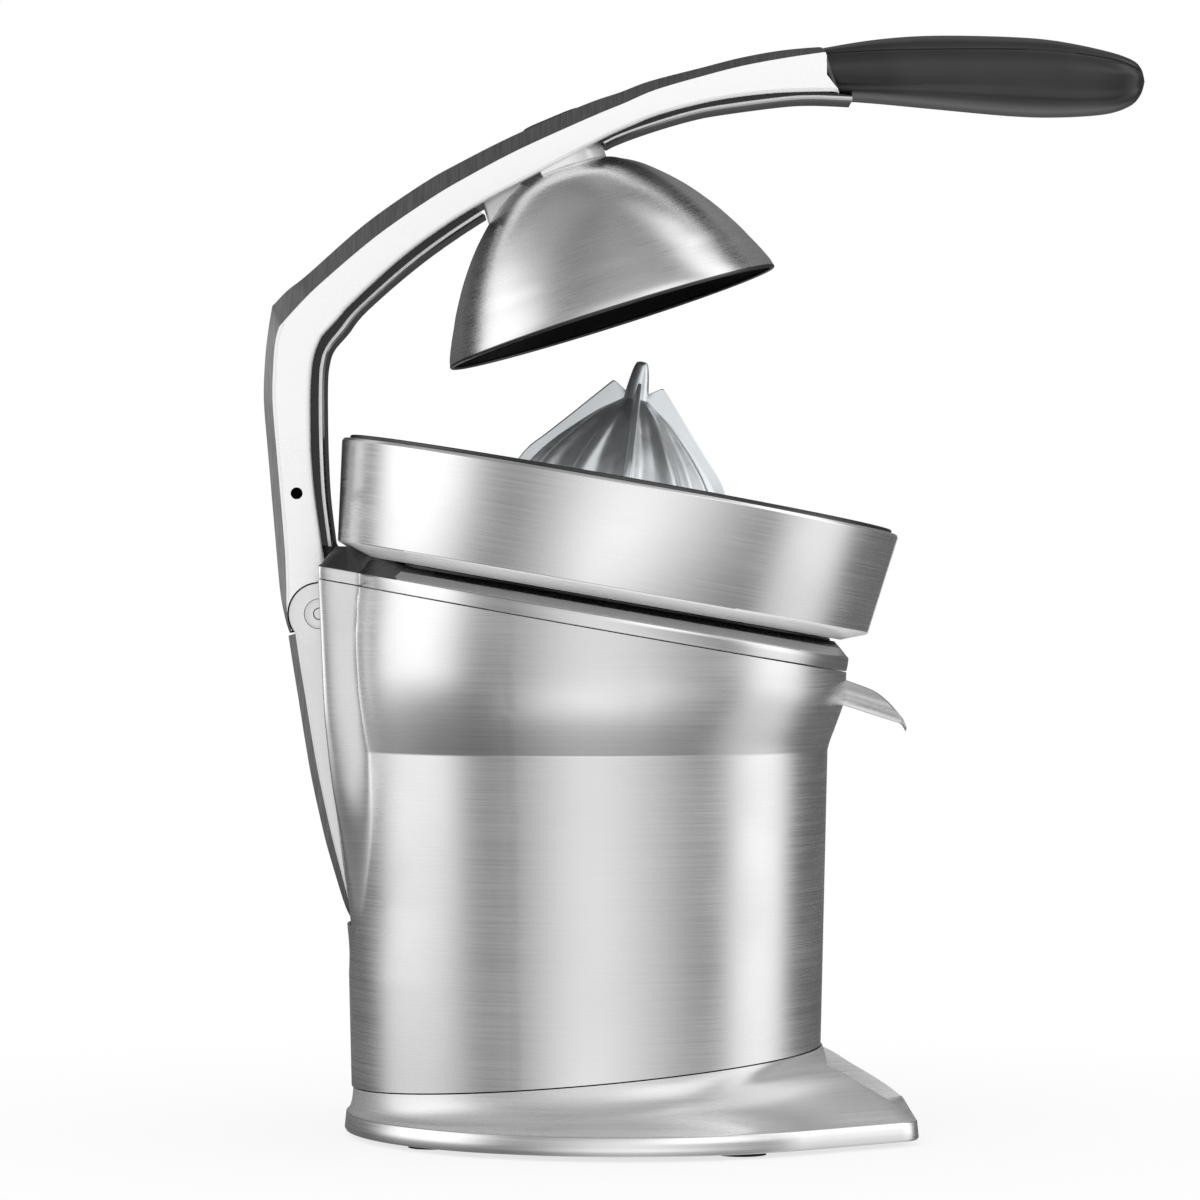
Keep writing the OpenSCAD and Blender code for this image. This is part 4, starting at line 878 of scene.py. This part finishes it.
def grip_ring(share, places, w):
    """A section of the grip: a domed top, a ridge, a waist, a fold and a round underside."""
    top, ridge, middle, crease, low = (at(*p, 0.0)[1] for p in places)
    groove = 0.75 * min(1.0, (1.0 - share) * 6)
    fold = 1.2 * max(0.0, 1.0 - share / 0.45)
    side = [((w - 0.5) * math.sin(q), ridge + (top - ridge) * math.cos(q) ** 0.9)
            for q in QUARTER]
    step = (ridge - middle) * 0.16
    side += [(w - 0.35 - groove, ridge - step * 0.5), (w - 0.3 - groove, ridge - step * 1.1),
             (w - 0.2, ridge - step * 2.0), (w + 0.45, (ridge + middle) / 2 - step),
             (w + 0.9, middle + step * 0.9), (w + 0.8, middle - step * 0.4),
             (w - 0.1, (middle + crease) / 2), (w - 0.9, crease + step * 1.2),
             (w - 1.1 - fold, crease + step * 0.3), (w - 1.0 - fold * 0.6, crease - step * 0.5)]
    side += [((w - 1.0) * math.cos(q) ** 0.7,
              crease - step * 0.5 + (low - crease + step * 0.5) * math.sin(q) ** 0.9)
             for q in QUARTER[1:]]
    x = at(*places[0], 0.0)[0]
    return [(x, y, z) for y, z in side] + [(x, -y, z) for y, z in reversed(side[1:-1])]


rows = list(zip(*(spline(line, 6) for line in GRIP_LINES + [GRIP_HALF])))
rings = [grip_ring(k / (len(rows) - 1), row[:5], row[5][0]) for k, row in enumerate(rows)]
loft("grip_skin", rings, M["grip"], "arm", "black_soft", "grip", angle=50)


# Rocker

ROCK_OUT = [(288.9, 635.6), (293.4, 665), (299.1, 700), (305.4, 740), (312.4, 780),
            (323.7, 831), (330.8, 857.6), (344, 901), (350, 915)]
ROCK_STRIP = [(297.6, 633.0), (302.2, 664), (308, 699), (314.4, 739), (321.6, 779),
              (332.4, 829), (338.6, 854), (347.5, 890), (351.5, 907)]
ROCK_LOW = [(352, 634), (352, 664), (354, 699), (356, 739), (358, 779), (362, 829),
            (366, 854), (368, 880), (366, 896)]
ROCK_WALL = 3.6


def rocker_rings():
    rings = []
    for o, s, w in zip(spline(ROCK_OUT, 4), spline(ROCK_STRIP, 4), spline(ROCK_LOW, 4)):
        o, s, w = Vector(at(*o)), Vector(at(*s)), Vector(at(*w))
        y = ARM_HALF_W
        d = (s - o).normalized()
        rings.append(mirrored([(o, y - 3.2), (s - d * 0.5, y - 0.5), (s, y - 0.1),
                               (s + d * 0.5, y), (w, y), (w, y - ROCK_WALL),
                               (s + d * 1.0, y - ROCK_WALL)]))
    return rings


head_cut = disc("rocker_cut", PIVOT_B, 11.0, 30)
loft("rocker_skin", rocker_rings(), [M["strip"], M["plate"]], "rocker", "brushed_steel",
     "rocker", cuts=[head_cut], ring_slots=[0] + [1] * 11 + [0] * 2, angle=24)
drop(head_cut)


def pin_frame(centre, side):
    def place(p):
        return (centre[0] + p[0], side * p[2], centre[1] + p[1])
    return place


# Turned parts of the knuckle on each side: profile, finish, slot and places round
KNUCKLE = {
    "rocker_head": ([(5.75, 18.0), (11.0, 18.0), (11.35, 17.9), (11.5, 17.5), (11.5, 14.4),
                     (5.75, 14.4)], "plate", "brushed_steel", 96),
    "knuckle_cap": ([(2.35, 18.0), (5.35, 18.0), (5.55, 17.9), (5.6, 17.6), (5.6, 15.0),
                     (2.35, 15.0)], "plate", "bright_steel", 72),
    "knuckle_ring": ([(2.02, 17.5), (2.35, 17.5), (2.35, 15.5), (2.02, 15.5)], "pin_dark",
                     "bright_steel", 48),
    "knuckle_core": ([(0.05, 17.95), (1.8, 17.95), (2.02, 17.75), (2.02, 15.5), (0.05, 15.5)],
                     "plate", "bright_steel", 48),
}
for side, tag in ((-1, "near"), (1, "far")):
    for name, (profile, key, slot, n) in KNUCKLE.items():
        lathe(f"{name}_{tag}", profile, M[key], "rocker", slot, n=n,
              place=pin_frame(PIVOT_B, side))
lathe("knuckle_shaft", [(0.05, -15.4), (3.4, -15.4), (3.4, 15.4), (0.05, 15.4)], M["pin"],
      "rocker", "bright_steel", "knuckle_pin", n=48, place=pin_frame(PIVOT_B, 1))


# Spout

SPOUT_ROOT, SPOUT_END = (96.0, 162.0), (120.3, 154.2)
SPOUT_RUN = math.hypot(SPOUT_END[0] - SPOUT_ROOT[0], SPOUT_END[1] - SPOUT_ROOT[1])
SPOUT_TILT = math.radians(17.8)
SPOUT_R, SPOUT_WALL, SPOUT_HOOK = 12.0, 1.1, 2.2
# The trough's depth along its run, both as shares
SPOUT_CUT = spline([(-0.25, 0.77), (-0.02, 0.76), (0.2, 0.745), (0.38, 0.71), (0.5, 0.635),
                    (0.64, 0.5), (0.76, 0.35), (0.875, 0.19), (0.96, 0.08), (1.04, 0.02)], 4)


def spout_ring(s, share, steps=32):
    """A section of the trough: its outside one way and its inside back."""
    half = math.acos(max(-1.0, 1 - share))
    fall = SPOUT_HOOK * max((s - 0.9) / 0.14, 0.0) ** 2
    turns = [-half + 2 * half * k / steps for k in range(steps + 1)]
    inner = SPOUT_R - SPOUT_WALL
    ring = [(s * SPOUT_RUN, SPOUT_R * math.sin(a), SPOUT_R * (1 - math.cos(a)) - fall)
            for a in turns]
    ring += [(s * SPOUT_RUN, inner * math.sin(a), SPOUT_R - inner * math.cos(a) - fall)
             for a in reversed(turns)]
    return [turned(p, SPOUT_TILT, (SPOUT_ROOT[0], 0.0, SPOUT_ROOT[1])) for p in ring]


loft("spout_skin", [spout_ring(s, share) for s, share in SPOUT_CUT], M["shell"], "base",
     "brushed_steel", "spout", angle=45)


# Foot

FOOT_R, FOOT_X, FOOT_REACH = 106.0, 14.0, 123.0
FRONT_HALF, FRONT_R = 57.0, 14.0
VALLEY = 44.0
LIP_Z = 9.0
FOOT_IN_R = BODY_R - BODY_TAPER + 0.6
# How the flank falls from the seam to the lip: run and height as shares, round and in front
SOFT_FLANK = [(0.0, 1.0), (0.02, 0.86), (0.06, 0.72), (0.13, 0.57), (0.24, 0.42), (0.38, 0.29),
              (0.55, 0.17), (0.75, 0.07), (1.0, 0.0)]
HARD_FLANK = [(0.0, 1.0), (0.05, 0.97), (0.15, 0.93), (0.3, 0.86), (0.42, 0.74), (0.55, 0.56),
              (0.7, 0.38), (0.85, 0.2), (1.0, 0.0)]
# The lip and the underside: how far in from the outline, and the height
LIP_SHAPE = [(0.9, LIP_Z - 0.2), (0.6, LIP_Z - 0.6), (0.0, 2.6), (0.5, 1.8), (3.0, 1.5),
             (5.2, 1.5), (5.2, 4.0)]


def foot_plan():
    """The foot's plan outline: a round back drawn to a blunt front, as closed places."""
    cx, cy = FOOT_REACH - FRONT_R, FRONT_HALF - FRONT_R
    dx, dy = cx - FOOT_X, cy
    d = math.hypot(dx, dy)
    lean = math.atan2(dy, dx) + math.acos((FOOT_R - FRONT_R) / d)
    turns = [lean + (2 * math.pi - 2 * lean) * k / 180 for k in range(181)]
    pts = [(FOOT_X + FOOT_R * math.cos(a), FOOT_R * math.sin(a)) for a in turns]
    arc = [lean * k / 12 for k in range(13)]
    pts += [(cx + FRONT_R * math.cos(a), -(cy + FRONT_R * math.sin(a))) for a in reversed(arc)]
    return pts + [(cx + FRONT_R * math.cos(a), cy + FRONT_R * math.sin(a)) for a in arc]


def resample(points, n):
    """n places spread evenly along a closed outline."""
    closed = list(points) + [points[0]]
    lengths = [0.0]
    for a, b in zip(closed, closed[1:]):
        lengths.append(lengths[-1] + math.hypot(b[0] - a[0], b[1] - a[1]))
    out, j = [], 0
    for i in range(n):
        goal = lengths[-1] * i / n
        while lengths[j + 1] < goal:
            j += 1
        t = (goal - lengths[j]) / max(lengths[j + 1] - lengths[j], 1e-9)
        a, b = closed[j], closed[j + 1]
        out.append((a[0] + (b[0] - a[0]) * t, a[1] + (b[1] - a[1]) * t))
    return out


def foot_column(p):
    """From the seam down over the flank to the lip, under it and back."""
    r = math.hypot(*p)
    ux, uy = p[0] / r, p[1] / r
    # The inner end keeps to the body; in front the flank is drawn so that the ridges run straight
    front = unit((math.cos(math.atan2(uy, ux)) - 0.35) / 0.6)
    ridge = front * front * (3 - 2 * front)
    bx, by = ux * FOOT_IN_R, uy * FOOT_IN_R
    z_in = foot_z(bx) - 0.2
    ox, oy = p[0] - ux * 1.2, p[1] - uy * 1.2
    flank = []
    for (sa, ha), (sb, hb) in zip(SOFT_FLANK, HARD_FLANK):
        s = sa + (sb - sa) * ridge
        h = ha + (hb - ha) * ridge
        flank.append((bx + (ox - bx) * s, by + (oy - by) * s, LIP_Z + (z_in - LIP_Z) * h))
    under = [(p[0] - ux * d, p[1] - uy * d, z) for d, z in LIP_SHAPE]
    return spline(flank, 3) + under + [(bx * 0.9, by * 0.9, 6.0),
                                       (bx * 0.94, by * 0.94, z_in - 3.0)]


rings = list(zip(*[foot_column(p) for p in resample(foot_plan(), 360)]))
valley_cut = prism("valley_cut", [(-VALLEY, LIP_Z + 0.2), (-VALLEY - 1.5, 60.0),
                                  (VALLEY + 1.5, 60.0), (VALLEY, LIP_Z + 0.2)],
                   BODY_R - BODY_TAPER + 0.8, 140.0, lambda p: (p[2], p[0], p[1]))
foot = loft("foot_skin", rings, [M["foot"], M["lip"]], "base", "satin_cast", "base_foot",
            closed=True, cuts=[valley_cut], angle=40)
paint(foot, 1, lambda p, normal: p.z < LIP_Z - 0.1 and abs(normal.z) < 0.6)
drop(valley_cut)


# Studio

def world_light():
    """A white background; steel mirrors soft boxes, and rough surfaces get an even light."""
    world = bpy.data.worlds.new("studio")
    bpy.context.scene.world = world
    world.use_nodes = True
    tree = world.node_tree
    tree.nodes.clear()

    def math_node(op, *values):
        node = add(tree, "Math", operation=op)
        for i, v in enumerate(values):
            if isinstance(v, (int, float)):
                node.inputs[i].default_value = v
            else:
                link(v, node.inputs[i])
        return node.outputs[0]

    coords = add(tree, "TexCoord")
    split = add(tree, "SeparateXYZ")
    link(coords.outputs["Generated"], split.inputs[0])
    x, y, z = split.outputs
    side = math_node("MULTIPLY", math_node("ARCTAN2", x, math_node("MULTIPLY", y, -1.0)),
                     180 / math.pi)
    up = math_node("MULTIPLY", math_node("ARCSINE", z), 180 / math.pi)

    def by_height(heights):
        level = add(tree, "ValToRGB")
        level.color_ramp.interpolation = "EASE"
        stops = level.color_ramp.elements
        stops.remove(stops[1])
        for i, (elev, value) in enumerate(sorted(heights)):
            el = stops.new((elev + 90) / 180) if i else stops[0]
            el.position = (elev + 90) / 180
            el.color = (value, value, value, 1)
        link(math_node("DIVIDE", math_node("ADD", up, 90.0), 180.0), level.inputs[0])
        return level.outputs[0]

    def lobe(centre, width, amount, power, heights):
        d = math_node("ABSOLUTE", math_node("DIVIDE", math_node("SUBTRACT", side, centre), width))
        e = math_node("EXPONENT", math_node("MULTIPLY", math_node("POWER", d, power), -1.0))
        return math_node("MULTIPLY", math_node("MULTIPLY", e, amount), by_height(heights))

    env = by_height(LIGHT_BASE)
    for spec in LIGHT_LOBES:
        env = math_node("ADD", lobe(*spec), env)

    path = add(tree, "LightPath")
    shine = math_node("MAXIMUM", path.outputs["Is Glossy Ray"],
                      path.outputs["Is Transmission Ray"])
    strength = math_node("ADD", math_node("MULTIPLY", shine, env),
                         math_node("MULTIPLY", math_node("SUBTRACT", 1.0, shine), EVEN_LIGHT))
    strength = math_node("MAXIMUM", strength, path.outputs["Is Camera Ray"])
    back = add(tree, "Background")
    back.inputs["Color"].default_value = (1, 1, 1, 1)
    link(strength, back.inputs["Strength"])
    link(back.outputs[0], add(tree, "OutputWorld").inputs[0])


EVEN_LIGHT = 0.9
# Strength by height, in degrees over the horizon: pairs of height and share
LEFT_BOX = [(-90, 0.04), (-30, 0.05), (-21, 0.1), (-13, 0.22), (-6, 0.62), (-3, 0.95), (22, 1.0),
            (30, 0.7), (38, 0.32), (50, 0.16), (72, 0.12), (90, 0.1)]
RIGHT_BOX = [(-90, 0.25), (-50, 0.35), (-30, 0.5), (-18, 0.68), (-7, 0.84), (-3, 1.0), (60, 1.0),
             (80, 0.4), (90, 0.1)]
FRONT_BOX = [(-90, 0.25), (-45, 0.28), (-30, 0.3), (-24, 0.4), (-18, 0.85), (-13, 0.86),
             (-7, 0.64), (10, 0.62), (25, 0.5), (38, 0.3), (52, 0.17), (70, 0.14), (90, 0.1)]
HIGH_BOX = [(-90, 0.0), (8, 0.0), (15, 0.8), (21, 1.0), (36, 1.0), (46, 0.3), (60, 0.0), (90, 0.0)]
BACK_BOX = [(-90, 1.0), (-60, 1.6), (-32, 1.6), (-18, 0.2), (0, 0.0), (25, 0.05), (40, 0.4),
            (60, 0.5), (80, 0.3), (90, 0.2)]
LIGHT_BASE = [(-90, 0.6), (-68, 0.5), (-50, 0.14), (-30, 0.11), (0, 0.1), (20, 0.15), (45, 0.17),
              (90, 0.15)]
# Each soft box: its side angle, half width, strength, edge and height
LIGHT_LOBES = [(-90.0, 27.0, 1.16, 6.0, LEFT_BOX), (-60.0, 12.0, 0.22, 2.0, LEFT_BOX),
               (-5.0, 29.0, 1.02, 2.0, FRONT_BOX), (30.0, 29.0, 0.55, 2.0, FRONT_BOX),
               (91.0, 20.5, 1.14, 5.0, RIGHT_BOX), (40.0, 25.0, 0.8, 3.0, HIGH_BOX),
               (180.0, 34.0, 0.5, 2.0, BACK_BOX), (-180.0, 34.0, 0.5, 2.0, BACK_BOX)]
world_light()


FLOOR_HALF, FLOOR_Z = 4.0, -0.0002


def pale_floor():
    """A floor that keeps the object's shadow and fades into the white around it."""
    material = bpy.data.materials.new("pale_floor")
    tree, shader = nodes_of(material)
    shader.inputs["Base Color"].default_value = (0.95, 0.95, 0.95, 1)
    shader.inputs["Roughness"].default_value = 0.8
    path = add(tree, "LightPath")
    glow = add(tree, "Emission")
    glow.inputs["Strength"].default_value = 1.0
    mix = add(tree, "MixShader")
    share = add(tree, "Math", operation="MULTIPLY")
    spot = add(tree, "TexCoord")
    reach = add(tree, "VectorMath", operation="LENGTH")
    link(spot.outputs["Object"], reach.inputs[0])
    link(path.outputs["Is Camera Ray"], share.inputs[0])
    link(ramp(tree, reach.outputs["Value"], 0.75, 1.0, 0.12, 0.45), share.inputs[1])
    link(share.outputs[0], mix.inputs[0])
    link(shader.outputs[0], mix.inputs[1])
    link(glow.outputs[0], mix.inputs[2])
    link(mix.outputs[0], tree.nodes["Material Output"].inputs[0])
    mesh = bpy.data.meshes.new("floor")
    mesh.from_pydata([(x * FLOOR_HALF, y * FLOOR_HALF, FLOOR_Z)
                      for x, y in ((-1, -1), (1, -1), (1, 1), (-1, 1))], [], [(0, 1, 2, 3)])
    mesh.materials.append(material)
    floor = new_object("floor", mesh)
    floor.visible_glossy = False


pale_floor()


def lamp(name, place, aim, size, power):
    data = bpy.data.lights.new(name, "AREA")
    data.shape = "RECTANGLE"
    data.size, data.size_y = size
    data.energy = power
    obj = new_object(name, data)
    obj.location = place
    obj.rotation_euler = (Vector(aim) - Vector(place)).to_track_quat("-Z", "Y").to_euler()
    obj.visible_glossy = False


lamp("key", (-0.6, -1.4, 1.9), (0, 0, 0.15), (1.6, 1.2), 9.0)

camera_data = bpy.data.cameras.new("camera")
camera_data.lens = LENS
camera_data.sensor_width = SENSOR
camera = new_object("camera", camera_data)
camera.location = CAM_AT
camera.rotation_euler = (math.radians(90), 0, 0)
bpy.context.scene.camera = camera
bpy.context.scene.view_settings.view_transform = "Standard"
